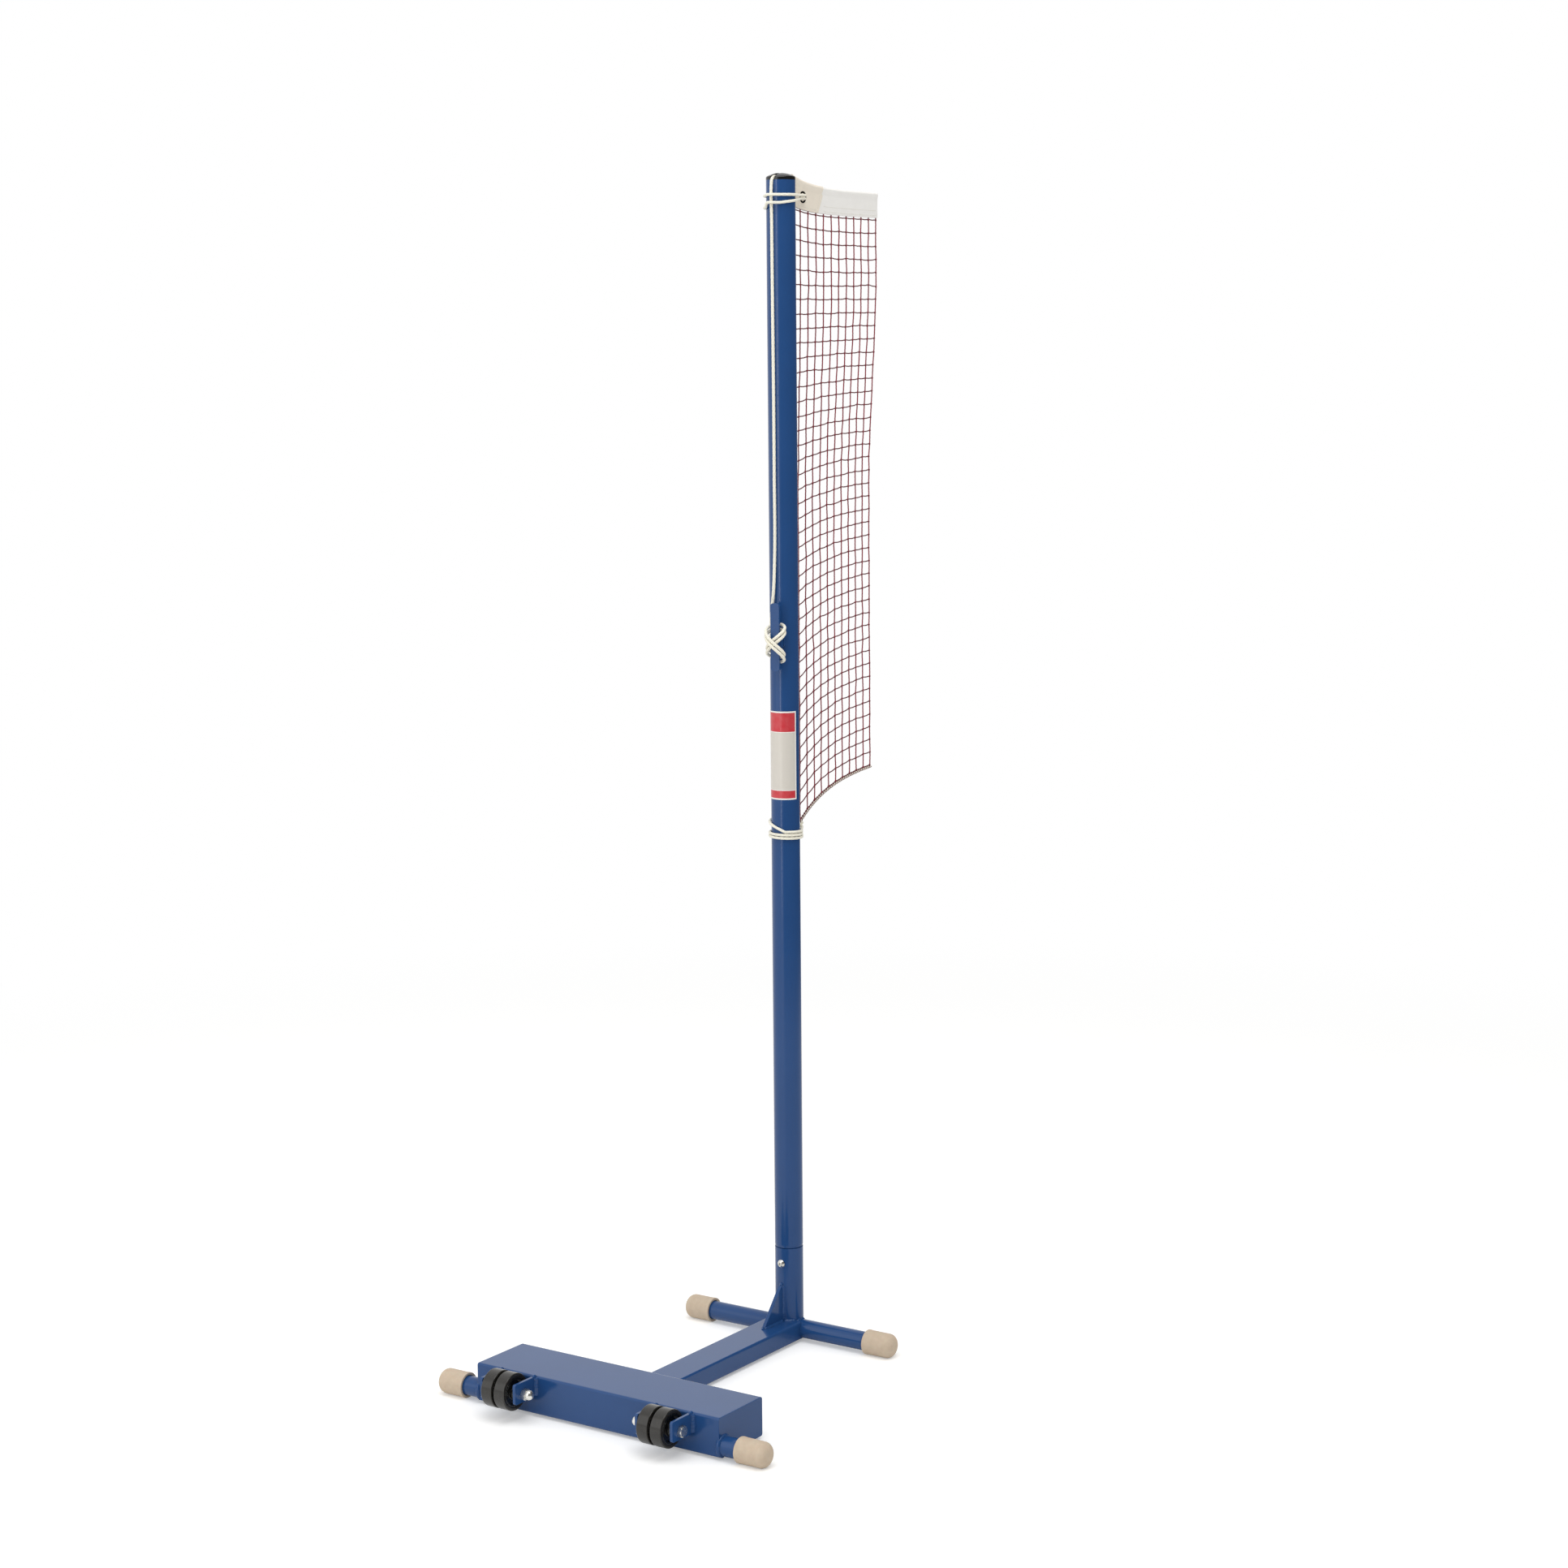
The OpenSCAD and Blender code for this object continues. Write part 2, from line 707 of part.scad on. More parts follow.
// Cloth folded over the head cord from x0 to x1, layer cloths out from the cord
module folded_cloth(layer, x0, x1, slant, steps) {
    o = layer * (tape_t + soft_gap / 2);
    outer = fold_side(hem_r + o + tape_t, ply_gap + o + tape_t);
    inner = fold_side(hem_r + o, ply_gap + o);
    n = len(outer);
    ring = concat(outer, [for (i = [n - 1 : -1 : 0]) inner[i]]);
    m = len(ring);
    pts = [for (s = [0 : steps], q = ring)
        let (x = x0 + s / steps * (x1 - x0 - slant * (q[2] == 1 ? 1 : q[1] / tape_w)))
        [x, q[0], tape_top(x) - q[1] - q[2] * tape_depth(x)]];
    walls = [for (s = [0 : steps - 1], i = [0 : m - 1])
        let (a = s * m + i, b = s * m + (i + 1) % m) each [[a, b, a + m], [b, b + m, a + m]]];
    far = steps * m;
    ends = [for (i = [0 : n - 2]) let (j = m - 1 - i) each [[i, j, i + 1], [i + 1, j, j - 1],
        [far + i, far + i + 1, far + j], [far + i + 1, far + j - 1, far + j]]];
    polyhedron(pts, concat(walls, ends));
}

eyelet_z = post_h - eyelet_drop;
patch_half = ply_gap + 2 * tape_t + soft_gap / 2;

// Hole for the eyelet's barrel
module eyelet_hole() {
    along_y(eyelet_x, -post_r, eyelet_z) cylinder(r = eyelet_r + eyelet_t + seat_fit, h = post_od);
}

// White tape folded over the head cord and the net's top edge
module head_tape() {
    color(tape_white) difference() {
        folded_cloth(0, tape_start, tape_end, 0, 14);
        eyelet_hole();
    }
}

// Canvas patch folded over the end of the tape
module corner_patch() {
    color(canvas_beige) difference() {
        folded_cloth(1, patch_x, patch_end, patch_slant, 8);
        eyelet_hole();
    }
}

// Metal eyelet with a flange on each face of the patch
module eyelet() {
    w = patch_half + eyelet_t;
    color(eyelet_dark) along_y(eyelet_x, -w, eyelet_z) rotate_extrude() {
        translate([eyelet_r, 0]) square([eyelet_t, 2 * w]);
        for (z = [0, 2 * w - eyelet_t]) translate([eyelet_r, z])
            square([eyelet_t + eyelet_flange, eyelet_t]);
    }
}

// Share of the net's lean toward the post at a share of its depth
lean_from = 0.08;
lean_to = 0.5;
function lean(v) = let (t = min(1, max(0, (v - lean_from) / (lean_to - lean_from)))) t * t * (3 - 2 * t);

// Most that each column leans toward the post, least at the free edge, and the lower corner's kick
edge_lean = 4;
inner_lean = 9;
corner_kick = 8;
function column_lean(k) = k == 0 ? edge_lean : inner_lean + k;

// Knot of the net at a column and a share of the depth
function column_x(k, v) = net_edge + mesh_w * k - column_lean(k) * lean(v)
    + (k == 0 ? corner_kick * v ^ 6 : 0);
function net_top(x) = tape_top(x) - tape_depth(x) + net_tuck;
function net_low(x) = net_bottom(x) + line_r + soft_gap + twine_d / 2;
function knot(k, v) = let (x = column_x(k, v)) [x, net_top(x) * (1 - v) + net_low(x) * v];

// Flat net: an outline and one four-sided gap for each mesh
module net_mesh() {
    w = twine_d / 2;
    rows = mesh_rows;
    cols = mesh_cols;
    rim = concat([for (k = [0 : cols]) knot(k, 0) + w * [k == 0 ? -1 : k == cols ? 1 : 0, 1]],
        [for (j = [1 : rows]) knot(cols, j / rows) + w * [1, j == rows ? -1 : 0]],
        [for (k = [cols - 1 : -1 : 0]) knot(k, 1) + w * [k == 0 ? -1 : 0, -1]],
        [for (j = [rows - 1 : -1 : 1]) knot(0, j / rows) - w * [1, 0]]);
    gaps = [for (k = [0 : cols - 1], j = [0 : rows - 1]) each [
        knot(k, j / rows) + w * [1, -1], knot(k + 1, j / rows) + w * [-1, -1],
        knot(k + 1, (j + 1) / rows) + w * [-1, 1], knot(k, (j + 1) / rows) + w * [1, 1]]];
    first = len(rim);
    color(twine_maroon) upright(twine_d) polygon(concat(rim, gaps), concat([[for (i = [0 : first - 1]) i]],
        [for (g = [0 : rows * cols - 1]) [for (i = [0 : 3]) first + 4 * g + i]]));
}

// Line that carries the net's lower edge
module bottom_line() {
    x0 = column_x(0, 1);
    x1 = column_x(mesh_cols, 1) + twine_d;
    steps = 14;
    p = [for (i = [0 : steps]) let (x = x0 + (x1 - x0) * i / steps) [x, 0, net_bottom(x)]];
    color(cord_cream) tube(p, line_r);
}

// Place on the post for a cord of radius r, at an angle and height, lifted off by a distance
function on_post(a, z, r, lift = 0) = let (d = post_r + r + soft_gap + lift) [d * cos(a), d * sin(a), z];

// Place by the cleat, out from the post's axis, across, and up from the stem's middle
function by_cleat(u, t, z) = let (a = 180 + cleat_turn)
    [u * cos(a) - t * sin(a), u * sin(a) + t * cos(a), lash_z + z];

// Winding on the cleat: figures of eight that pass behind the horns and cross in front of the stem
lash_slack = 2.5;
lash_sag = 3;
lash_out = cleat_t / 2 + cord_d + lash_slack;
lash_wide = cleat_w / 2 + 1.5 * cord_d;
lash_high = stem_h / 2 + 2.5 * cord_d;
lash_step = 1.6 * cord_d;
lash_cross = 0.65 * cord_d;
lash_start = -90;
function lash(a) = by_cleat(horn_mid + lash_out * cos(2 * a) + lash_cross * cos(a), lash_wide * -sin(2 * a),
    lash_high * sin(a) + lash_step * ((a - lash_start) / 360 - lash_turns / 2) - lash_sag);
loop_rings = 24;
winding = [for (i = [0 : loop_rings * lash_turns]) lash(lash_start + 360 * i / loop_rings)];

// Head cord: from inside the tape's hem, over the cap, down the post, and onto the cleat
groove_z = post_h - groove_deep + soft_gap + cord_r;
lead_r = groove_bend + soft_gap + cord_r;
hem_run = [for (x = [tape_end - cord_d : -22 : 30]) [x, 0, tape_top(x) - hem_c]];
cap_run = concat([[20, 0, groove_z], [10, 0, groove_z], [0, 0, groove_z]],
    [for (a = [90 : 15 : 180]) [groove_bend - post_r + lead_r * cos(a), 0,
        post_h - groove_deep - groove_bend + lead_r * sin(a)]]);
post_run = [on_post(180, lash_z + 540, cord_r), on_post(181, lash_z + 430, cord_r),
    on_post(182, lash_z + 320, cord_r), on_post(182, lash_z + 210, cord_r),
    on_post(181, lash_z + 110, cord_r), by_cleat(22.4, -6.6, 59), by_cleat(21.5, -9, 39),
    by_cleat(19.5, -11.3, 14), by_cleat(19.2, -11.5, -6), by_cleat(19.6, -11, -19),
    by_cleat(21, -9, -26), by_cleat(23, -5.5, -29)];
tail_end = lash(lash_start + 360 * lash_turns + 20);
head_path = concat(hem_run, cap_run, post_run, winding, [tail_end]);

module head_cord() {
    color(cord_cream) tube(head_path, cord_r);
}

// Upper tie: twice through the eyelet and twice round the post, over the head cord
// Heights in its rounds are from the eyelet's middle
over_cord = cord_d + soft_gap;
eye_y = patch_half + eyelet_t + tie_r + soft_gap;
function tie_round(z0, z1, z2) = concat(
    [for (s = [0 : 6]) on_post(-62 - 14 * s, eyelet_z + z0 + (z1 - z0) * s / 6, tie_r)],
    [for (a = [-172, -188]) on_post(a, eyelet_z + z1, tie_r, over_cord)],
    [for (s = [0 : 6]) on_post(-214 - 14 * s, eyelet_z + z2, tie_r)]);
function through_eye(z) = [for (s = [2 : -1 : -2]) [eyelet_x, eye_y * s / 2, z]];
eye_high = eyelet_z + tie_r + soft_gap;
eye_low = eyelet_z - tie_r - soft_gap;
upper_path = concat(
    [[eyelet_x, eye_y + tie_d, eye_high]], through_eye(eye_high), [[eyelet_x - 7, -eye_y - 3, eye_high]],
    tie_round(1, 1, 0), [[eyelet_x - 9, eye_y + 4, eye_low], [eyelet_x - 3, eye_y + 2, eye_low]],
    through_eye(eye_low), [[eyelet_x - 7, -eye_y - 2.4, eye_low]],
    tie_round(-5, -9, -15),
    [[eyelet_x - 13, eye_y + 4, eyelet_z - 10], [eyelet_x - 5, eye_y + 2.5, eyelet_z - 8]]);

module upper_tie() {
    color(cord_cream) tube(smooth_path(upper_path, 2), tie_r);
}

// Lower tie: from the net's lower corner round the post and back to the corner
corner = [column_x(0, 1) + tie_d, tie_r + line_r + soft_gap, net_bottom(column_x(0, 1))];
lower_drop = 3;
lower_z = corner[2] - lower_drop;
lower_step = tie_d + 2.4 * soft_gap;
lower_rise = 14;
lower_path = concat([corner + [0, 0, 6], corner + [-8, 5.5, 9]],
    [for (s = [0 : 9]) on_post(52 + 16 * s, lower_z + lower_rise * (1 - (s / 10) ^ 2), tie_r)],
    [for (a = [212 : 16 : 360 * lower_turns - 60]) on_post(a, lower_z - lower_step * (a - 212) / 360, tie_r)],
    [for (q = [[-16.4, -10.6, -12.2], [-10.9, -6.5, -10.7], [-5.9, -3, -6.7], [0, 0, -2.7]])
        [corner[0], -corner[1], corner[2]] + q]);

module lower_tie() {
    color(cord_cream) tube(smooth_path(lower_path, 2), tie_r);
}

echo(head_cord_least_gap = least_gap(head_path, cord_d, 5));
echo(upper_tie_least_gap = least_gap(smooth_path(upper_path, 2), tie_d, 6));
echo(lower_tie_least_gap = least_gap(smooth_path(lower_path, 2), tie_d, 6));

socket_tube();
socket_gusset();
base_beam();
cross_tube_left();
cross_tube_right();
weight_box();
box_end_left();
box_end_right();
ballast_block();
foot_tube_left();
foot_tube_right();
foot_front_left();
foot_front_right();
foot_rear_left();
foot_rear_right();
lug_left_outer();
lug_left_inner();
lug_right_inner();
lug_right_outer();
axle_bolts();
axle_nuts();
axle_spacers();
wheel_left_outer();
wheel_left_inner();
wheel_right_inner();
wheel_right_outer();
tyre_left_outer();
tyre_left_inner();
tyre_right_inner();
tyre_right_outer();
lock_screw();
post_tube();
post_spigot();
top_cap();
rope_cleat();
head_tape();
corner_patch();
eyelet();
net_mesh();
bottom_line();
head_cord();
upper_tie();
lower_tie();
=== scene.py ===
"""Looks of a wheel-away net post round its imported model: paint, rubber, netting, cloth and cords."""

import json
import math

import bpy
import numpy as np
from mathutils import Matrix, Vector


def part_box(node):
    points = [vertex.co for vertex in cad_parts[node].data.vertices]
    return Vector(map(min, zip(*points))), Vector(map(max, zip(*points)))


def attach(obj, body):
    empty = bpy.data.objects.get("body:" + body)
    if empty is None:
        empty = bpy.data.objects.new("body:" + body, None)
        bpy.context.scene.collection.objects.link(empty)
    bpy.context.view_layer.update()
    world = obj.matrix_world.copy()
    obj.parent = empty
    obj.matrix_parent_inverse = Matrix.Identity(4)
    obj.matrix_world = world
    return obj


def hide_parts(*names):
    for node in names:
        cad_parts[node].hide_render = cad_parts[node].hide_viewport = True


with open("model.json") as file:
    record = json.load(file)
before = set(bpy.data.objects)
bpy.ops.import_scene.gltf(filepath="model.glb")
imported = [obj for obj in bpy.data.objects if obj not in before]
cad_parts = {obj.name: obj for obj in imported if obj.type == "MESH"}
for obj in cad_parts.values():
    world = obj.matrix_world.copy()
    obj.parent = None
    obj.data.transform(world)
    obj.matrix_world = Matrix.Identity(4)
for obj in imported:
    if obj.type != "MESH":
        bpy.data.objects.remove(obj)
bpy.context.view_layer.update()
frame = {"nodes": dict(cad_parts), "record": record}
scene = bpy.context.scene
mm = 0.001


# Sizes of the model, read from its nodes
def low(node):
    return np.array(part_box(node)[0])


def high(node):
    return np.array(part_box(node)[1])


POST_R = high("socket_tube")[0]
CAP_TOP = high("top_cap")[2]
BASE_Z = low("base_beam")[2]
BEAM_TOP = high("base_beam")[2]
BEAM_HALF = high("base_beam")[1]
BOX_LOW = low("box_end_right")
BOX_HIGH = high("box_end_left")
LEG_R = high("cross_tube_left")[0]
LEG_Z = BASE_Z + LEG_R
REAR_X = (low("foot_tube_left")[0] + high("foot_tube_left")[0]) / 2
AXLE_X = (low("axle_bolts")[0] + high("axle_bolts")[0]) / 2
AXLE_Z = (low("axle_bolts")[2] + high("axle_bolts")[2]) / 2

# Sizes of the net and cords, as the model's solids have them
TAPE_TOP = CAP_TOP - 17 * mm
TAPE_RISE, TAPE_FADE = 29.5 * mm, 40 * mm
TAPE_W, TAPE_FLARE, TAPE_T = 33.5 * mm, 11 * mm, 0.8 * mm
PATCH_X, PATCH_END, PATCH_SLANT = 25 * mm, 95 * mm, 12 * mm
EYELET_X, EYELET_Z, EYELET_R = 47 * mm, CAP_TOP - 29 * mm, 5 * mm
EYELET_T, EYELET_FLANGE = 0.7 * mm, 2 * mm
NET_EDGE, MESH_W, NET_COLS, NET_ROWS = 26.4 * mm, 18.3 * mm, 11, 42
NET_DEPTH, CORNER_DROP, CORNER_FADE = 771 * mm, 94 * mm, 74 * mm
CORD_R, TIE_R, LINE_R, TWINE_R = 2 * mm, 1.75 * mm, 1.5 * mm, 0.83 * mm
SOFT_GAP, NET_LEAD, NET_TUCK = 0.3 * mm, 2.5 * mm, 6 * mm
CLEAT_AZ, LASH_Z, HORN_MID = math.radians(194), 951 * mm, 33.5 * mm


# Camera that took the picture, with its place, turn and focal length
IMAGE_PX, FOCAL_PX, SENSOR = 1932, 3756.2, 36
CAMERA_PLACE = Vector((-3.3002, -2.2324, 1.3338))
CAMERA_YAW, CAMERA_PITCH, CAMERA_ROLL = (math.radians(a) for a in (34.103, -8.230, -0.456))


def make_camera():
    flat = math.cos(CAMERA_PITCH)
    forward = Vector((flat * math.cos(CAMERA_YAW), flat * math.sin(CAMERA_YAW), math.sin(CAMERA_PITCH)))
    right = forward.cross(Vector((0, 0, 1))).normalized()
    up = right.cross(forward)
    c, s = math.cos(CAMERA_ROLL), math.sin(CAMERA_ROLL)
    turn = Matrix((c * right + s * up, c * up - s * right, -forward)).transposed()
    data = bpy.data.cameras.new("camera")
    data.sensor_width = SENSOR
    data.lens = SENSOR * FOCAL_PX / IMAGE_PX
    camera = bpy.data.objects.new("camera", data)
    camera.matrix_world = Matrix.Translation(CAMERA_PLACE) @ turn.to_4x4()
    scene.collection.objects.link(camera)
    scene.camera = camera


# Shapes
class Shape:
    """Vertices and faces of one piece, gathered part by part, with a material number for each face."""

    def __init__(self):
        self.verts, self.faces, self.marks = [], [], []

    def add(self, part, mark=0):
        verts, faces = part
        start = len(self.verts)
        self.verts += [tuple(v) for v in verts]
        self.faces += [tuple(start + i for i in f) for f in faces]
        self.marks += [mark] * len(faces)
        return self

    def piece(self, name, materials, body, slot, replaces=(), sharp=40, flats=False):
        mesh = bpy.data.meshes.new(name)
        mesh.from_pydata(self.verts, [], self.faces)
        for material in materials:
            mesh.materials.append(material)
        mesh.polygons.foreach_set("material_index", self.marks)
        mesh.polygons.foreach_set("use_smooth", [True] * len(self.faces))
        mesh.set_sharp_from_angle(angle=math.radians(sharp))
        obj = bpy.data.objects.new(name, mesh)
        scene.collection.objects.link(obj)
        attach(obj, body)
        if replaces:
            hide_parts(*replaces)
        if flats:
            obj.modifiers.new("shading", "WEIGHTED_NORMAL").keep_sharp = True
        return obj


def unit(v):
    return v / np.linalg.norm(v, axis=-1, keepdims=True)


def around(degrees, reach, z):
    """Place at an angle and a reach round the post's axis."""
    return reach * math.cos(math.radians(degrees)), reach * math.sin(math.radians(degrees)), z


def turned(points, turn):
    """Points turned in X and Z."""
    c, s = math.cos(turn), math.sin(turn)
    x, y, z = points.T
    return np.stack([c * x + s * z, y, c * z - s * x], axis=1)


def run_of(path):
    """Distance along a path at each of its points."""
    return np.concatenate([[0], np.cumsum(np.linalg.norm(np.diff(path, axis=0), axis=1))])


def smooth(points, step):
    """Smooth curve through points, sampled about every step along it."""
    p = np.asarray(points, float)
    d = np.linalg.norm(np.diff(p, axis=0), axis=1)[:, None]
    slope = np.diff(p, axis=0) / d
    m = np.concatenate([slope[:1], (slope[1:] * d[:-1] + slope[:-1] * d[1:]) / (d[1:] + d[:-1]), slope[-1:]])
    out = []
    for i in range(len(p) - 1):
        t = np.linspace(0, 1, max(2, round(float(d[i, 0]) / step) + 1))[:-1, None]
        out.append((2 * t**3 - 3 * t**2 + 1) * p[i] + (t**3 - 2 * t**2 + t) * d[i] * m[i]
                   + (3 * t**2 - 2 * t**3) * p[i + 1] + (t**3 - t**2) * d[i] * m[i + 1])
    return np.concatenate(out + [p[-1:]])


def sides_along(path):
    """Two side vectors carried along a path without twist."""
    t = unit(np.gradient(path, axis=0))
    side = np.zeros_like(path)
    v = np.array((0.31, 0.87, 0.38))
    for i in range(len(path)):
        v = unit(v - (v @ t[i]) * t[i])
        side[i] = v
    return side, np.cross(t, side)


def grid_faces(rows, cols, wrap):
    """Four-sided faces over a grid of points, closed across its columns where wrap is set."""
    last = cols if wrap else cols - 1
    return [(i * cols + j, i * cols + (j + 1) % cols, (i + 1) * cols + (j + 1) % cols, (i + 1) * cols + j)
            for i in range(rows - 1) for j in range(last)]


def tube(path, radius, sides=12, relief=None):
    """Closed round tube along a path. Relief gives its radius, as a share, by distance along and angle."""
    path = np.asarray(path, float)
    a, b = sides_along(path)
    angle = 2 * np.pi * np.arange(sides)[None, :] / sides
    share = 1 if relief is None else relief(run_of(path)[:, None], angle)
    r = (radius * share * np.ones((len(path), sides)))[:, :, None]
    out = np.cos(angle)[:, :, None] * a[:, None] + np.sin(angle)[:, :, None] * b[:, None]
    ring = path[:, None] + r * out
    n = len(path)
    faces = [f[::-1] for f in grid_faces(n, sides, True)]
    faces += [tuple(range(sides)), tuple((n - 1) * sides + i for i in reversed(range(sides)))]
    return ring.reshape(-1, 3), faces


def lathe(profile, centre, axis, steps=96):
    """Surface turned from pairs of radius and height round an axis through a centre."""
    axis = unit(np.asarray(axis, float))
    u = unit(np.cross(axis, (0.0, 0.0, 1.0) if abs(axis[2]) < 0.9 else (1.0, 0.0, 0.0)))
    v = np.cross(axis, u)
    profile = np.maximum(np.asarray(profile, float), (1e-6, -np.inf))
    angle = 2 * np.pi * np.arange(steps) / steps
    out = np.cos(angle)[:, None] * u + np.sin(angle)[:, None] * v
    ring = np.asarray(centre) + profile[:, 0, None, None] * out + profile[:, 1, None, None] * axis
    return ring.reshape(-1, 3), grid_faces(len(profile), steps, True)


def rounded(points, radius, steps=4, closed=True):
    """Outline with each corner eased by a curve that starts a radius before it."""
    p = np.asarray(points, float)
    n = len(p)
    out = []
    for i in range(n):
        if not closed and i in (0, n - 1):
            out.append(p[i])
            continue
        before, after = p[i - 1] - p[i], p[(i + 1) % n] - p[i]
        ease = min(radius, 0.49 * np.linalg.norm(before), 0.49 * np.linalg.norm(after))
        a, c = p[i] + ease * unit(before), p[i] + ease * unit(after)
        for t in np.linspace(0, 1, steps + 1):
            out.append((1 - t) ** 2 * a + 2 * t * (1 - t) * p[i] + t * t * c)
    return np.array(out)


def plate(outline, start, thick, u, v, edges):
    """Flat plate: an outline in u and v, raised across both from a start, with eased edges at both faces."""
    p = np.asarray(outline, float)
    tangent = unit(np.roll(p, -1, axis=0) - np.roll(p, 1, axis=0))
    inward = np.stack([-tangent[:, 1], tangent[:, 0]], axis=1)
    area = np.sum(p[:, 0] * np.roll(p[:, 1], -1) - np.roll(p[:, 0], -1) * p[:, 1])
    inward = inward if area > 0 else -inward
    u, v = np.asarray(u, float), np.asarray(v, float)
    w = np.cross(u, v)
    near, far = edges
    rings = []
    for inset, height in ((near, 0), (0.3 * near, 0.3 * near), (0, near),
                          (0, thick - far), (0.3 * far, thick - 0.3 * far), (far, thick)):
        q = p + inset * inward
        rings.append(np.asarray(start) + q[:, :1] * u + q[:, 1:] * v + height * w)
    n = len(p)
    faces = grid_faces(len(rings), n, True)
    faces += [tuple(reversed(range(n))), tuple((len(rings) - 1) * n + i for i in range(n))]
    if area < 0:
        faces = [f[::-1] for f in faces]
    return np.concatenate(rings), faces


# Materials, with the length of one band of a wave texture at a scale of 1
WAVE_BAND = 0.314


def linear(red, green, blue):
    """Colour from screen values of 0 to 255."""
    share = [x / 255 for x in (red, green, blue)]
    return [x / 12.92 if x <= 0.04045 else ((x + 0.055) / 1.055) ** 2.4 for x in share] + [1]


class Nodes:
    """Short ways to add nodes to a tree."""

    def __init__(self, tree):
        self.tree = tree

    def node(self, kind, inputs=None, **settings):
        made = self.tree.nodes.new("ShaderNode" + kind)
        for key, value in settings.items():
            setattr(made, key, value)
        for socket, value in (inputs or {}).items():
            if isinstance(value, bpy.types.NodeSocket):
                self.tree.links.new(value, made.inputs[socket])
            else:
                made.inputs[socket].default_value = value
        return made

    def math(self, operation, a, b):
        return self.node("Math", {0: a, 1: b}, operation=operation).outputs[0]


class Finish(Nodes):
    """A material with its shader, and short ways to colour and texture it."""

    def __init__(self, name, **inputs):
        self.material = bpy.data.materials.new(name)
        self.material.use_nodes = True
        super().__init__(self.material.node_tree)
        self.shader = self.tree.nodes["Principled BSDF"]
        for socket, value in inputs.items():
            self.shader.inputs[socket.replace("_", " ")].default_value = value
        self.place = self.node("TexCoord").outputs["Object"]

    def noise(self, scale, detail=3.0, rough=0.55, stretch=None):
        place = self.place
        if stretch:
            place = self.node("Mapping", {"Vector": place, "Scale": stretch}).outputs[0]
        inputs = {"Vector": place, "Scale": scale, "Detail": detail, "Roughness": rough}
        return self.node("TexNoise", inputs).outputs[0]

    def weave(self, pitch, turn=(0.0, 0.0, 0.0)):
        """Height of a plain weave in X and Z, from two crossing waves."""
        place = self.node("Mapping", {"Vector": self.place, "Rotation": turn}).outputs[0]
        inputs = {"Vector": place, "Scale": WAVE_BAND / pitch, "Distortion": 0.6, "Detail": 1.0}
        waves = [self.node("TexWave", inputs, bands_direction=way).outputs["Fac"] for way in ("X", "Z")]
        return self.math("MULTIPLY", *waves)

    def span(self, value, low_out, high_out, low_in=0.3, high_in=0.7):
        return self.node("MapRange", {"Value": value, "From Min": low_in, "From Max": high_in,
                                      "To Min": low_out, "To Max": high_out}).outputs[0]

    def mix(self, value, one, other):
        return self.node("Mix", {0: value, 6: one, 7: other}, data_type="RGBA").outputs[2]

    def colour(self, source):
        self.tree.links.new(source, self.shader.inputs["Base Color"])
        return self

    def rough(self, source):
        self.tree.links.new(source, self.shader.inputs["Roughness"])
        return self

    def bump(self, height, strength, distance):
        made = self.node("Bump", {"Height": height, "Strength": strength, "Distance": distance})
        self.tree.links.new(made.outputs[0], self.shader.inputs["Normal"])
        return self


def paint_finish():
    f = Finish("blue_powder_coat", Specular_IOR_Level=0.34)
    cloud = f.span(f.noise(9, 4), 0, 1)
    f.colour(f.mix(cloud, linear(34, 71, 122), linear(37, 75, 128)))
    f.rough(f.span(f.noise(60, 5), 0.1, 0.17))
    return f.bump(f.noise(420, 2), 0.03, 0.4 * mm).material


def metal_finish(name, bright, dull, rough, grain):
    f = Finish(name, Metallic=1.0)
    f.colour(f.mix(f.span(f.noise(160, 4), 0, 1), bright, dull))
    f.rough(f.span(f.noise(500, 4, stretch=grain), rough, rough + 0.12))
    return f.bump(f.noise(900, 3, stretch=grain), 0.03, 0.1 * mm).material


def rubber_finish():
    f = Finish("cream_rubber", Specular_IOR_Level=0.3, Subsurface_Weight=0.08, Subsurface_Scale=2 * mm)
    mottle = f.mix(f.span(f.noise(140, 5), 0, 1), linear(208, 190, 168), linear(200, 181, 158))
    scuff = f.span(f.noise(420, 6, 0.7), 0, 0.25, 0.6, 0.75)
    f.colour(f.mix(scuff, mottle, linear(184, 166, 142)))
    f.rough(f.span(f.noise(200, 3), 0.55, 0.72))
    return f.bump(f.noise(1600, 4, 0.7), 0.22, 0.15 * mm).material


def plastic_finish(name, dark, pale, rough, grit):
    f = Finish(name, Specular_IOR_Level=0.5)
    f.colour(f.mix(f.span(f.noise(180, 4), 0, 1), dark, pale))
    f.rough(f.span(f.noise(90, 4), rough, rough + 0.12))
    return f.bump(f.noise(1500, 4), grit, 0.1 * mm).material


def cloth_finish(name, pale, dark, pitch, strength, turn=(0.0, 0.0, 0.0)):
    f = Finish(name, Specular_IOR_Level=0.15, Roughness=0.9, Sheen_Weight=0.25, Sheen_Roughness=0.5)
    weave = f.weave(pitch, turn)
    # Colour is darker where the weave is low: painted shade in the hollows between the threads, times a
    # random tone for the yarn's slub.
    slub_and_weave_shade = f.math("MULTIPLY", f.span(f.noise(70, 4), 0.75, 1), f.span(weave, 0.55, 1, 0, 0.6))
    f.colour(f.mix(slub_and_weave_shade, dark, pale))
    return f.bump(weave, strength, 0.3 * mm).material


def cord_finish(name, pale, dark, scale):
    f = Finish(name, Specular_IOR_Level=0.2, Roughness=0.82, Sheen_Weight=0.3, Sheen_Roughness=0.4)
    f.colour(f.mix(f.span(f.noise(scale, 5, 0.65), 0, 1), dark, pale))
    return f.bump(f.noise(4 * scale, 3), 0.25, 0.15 * mm).material


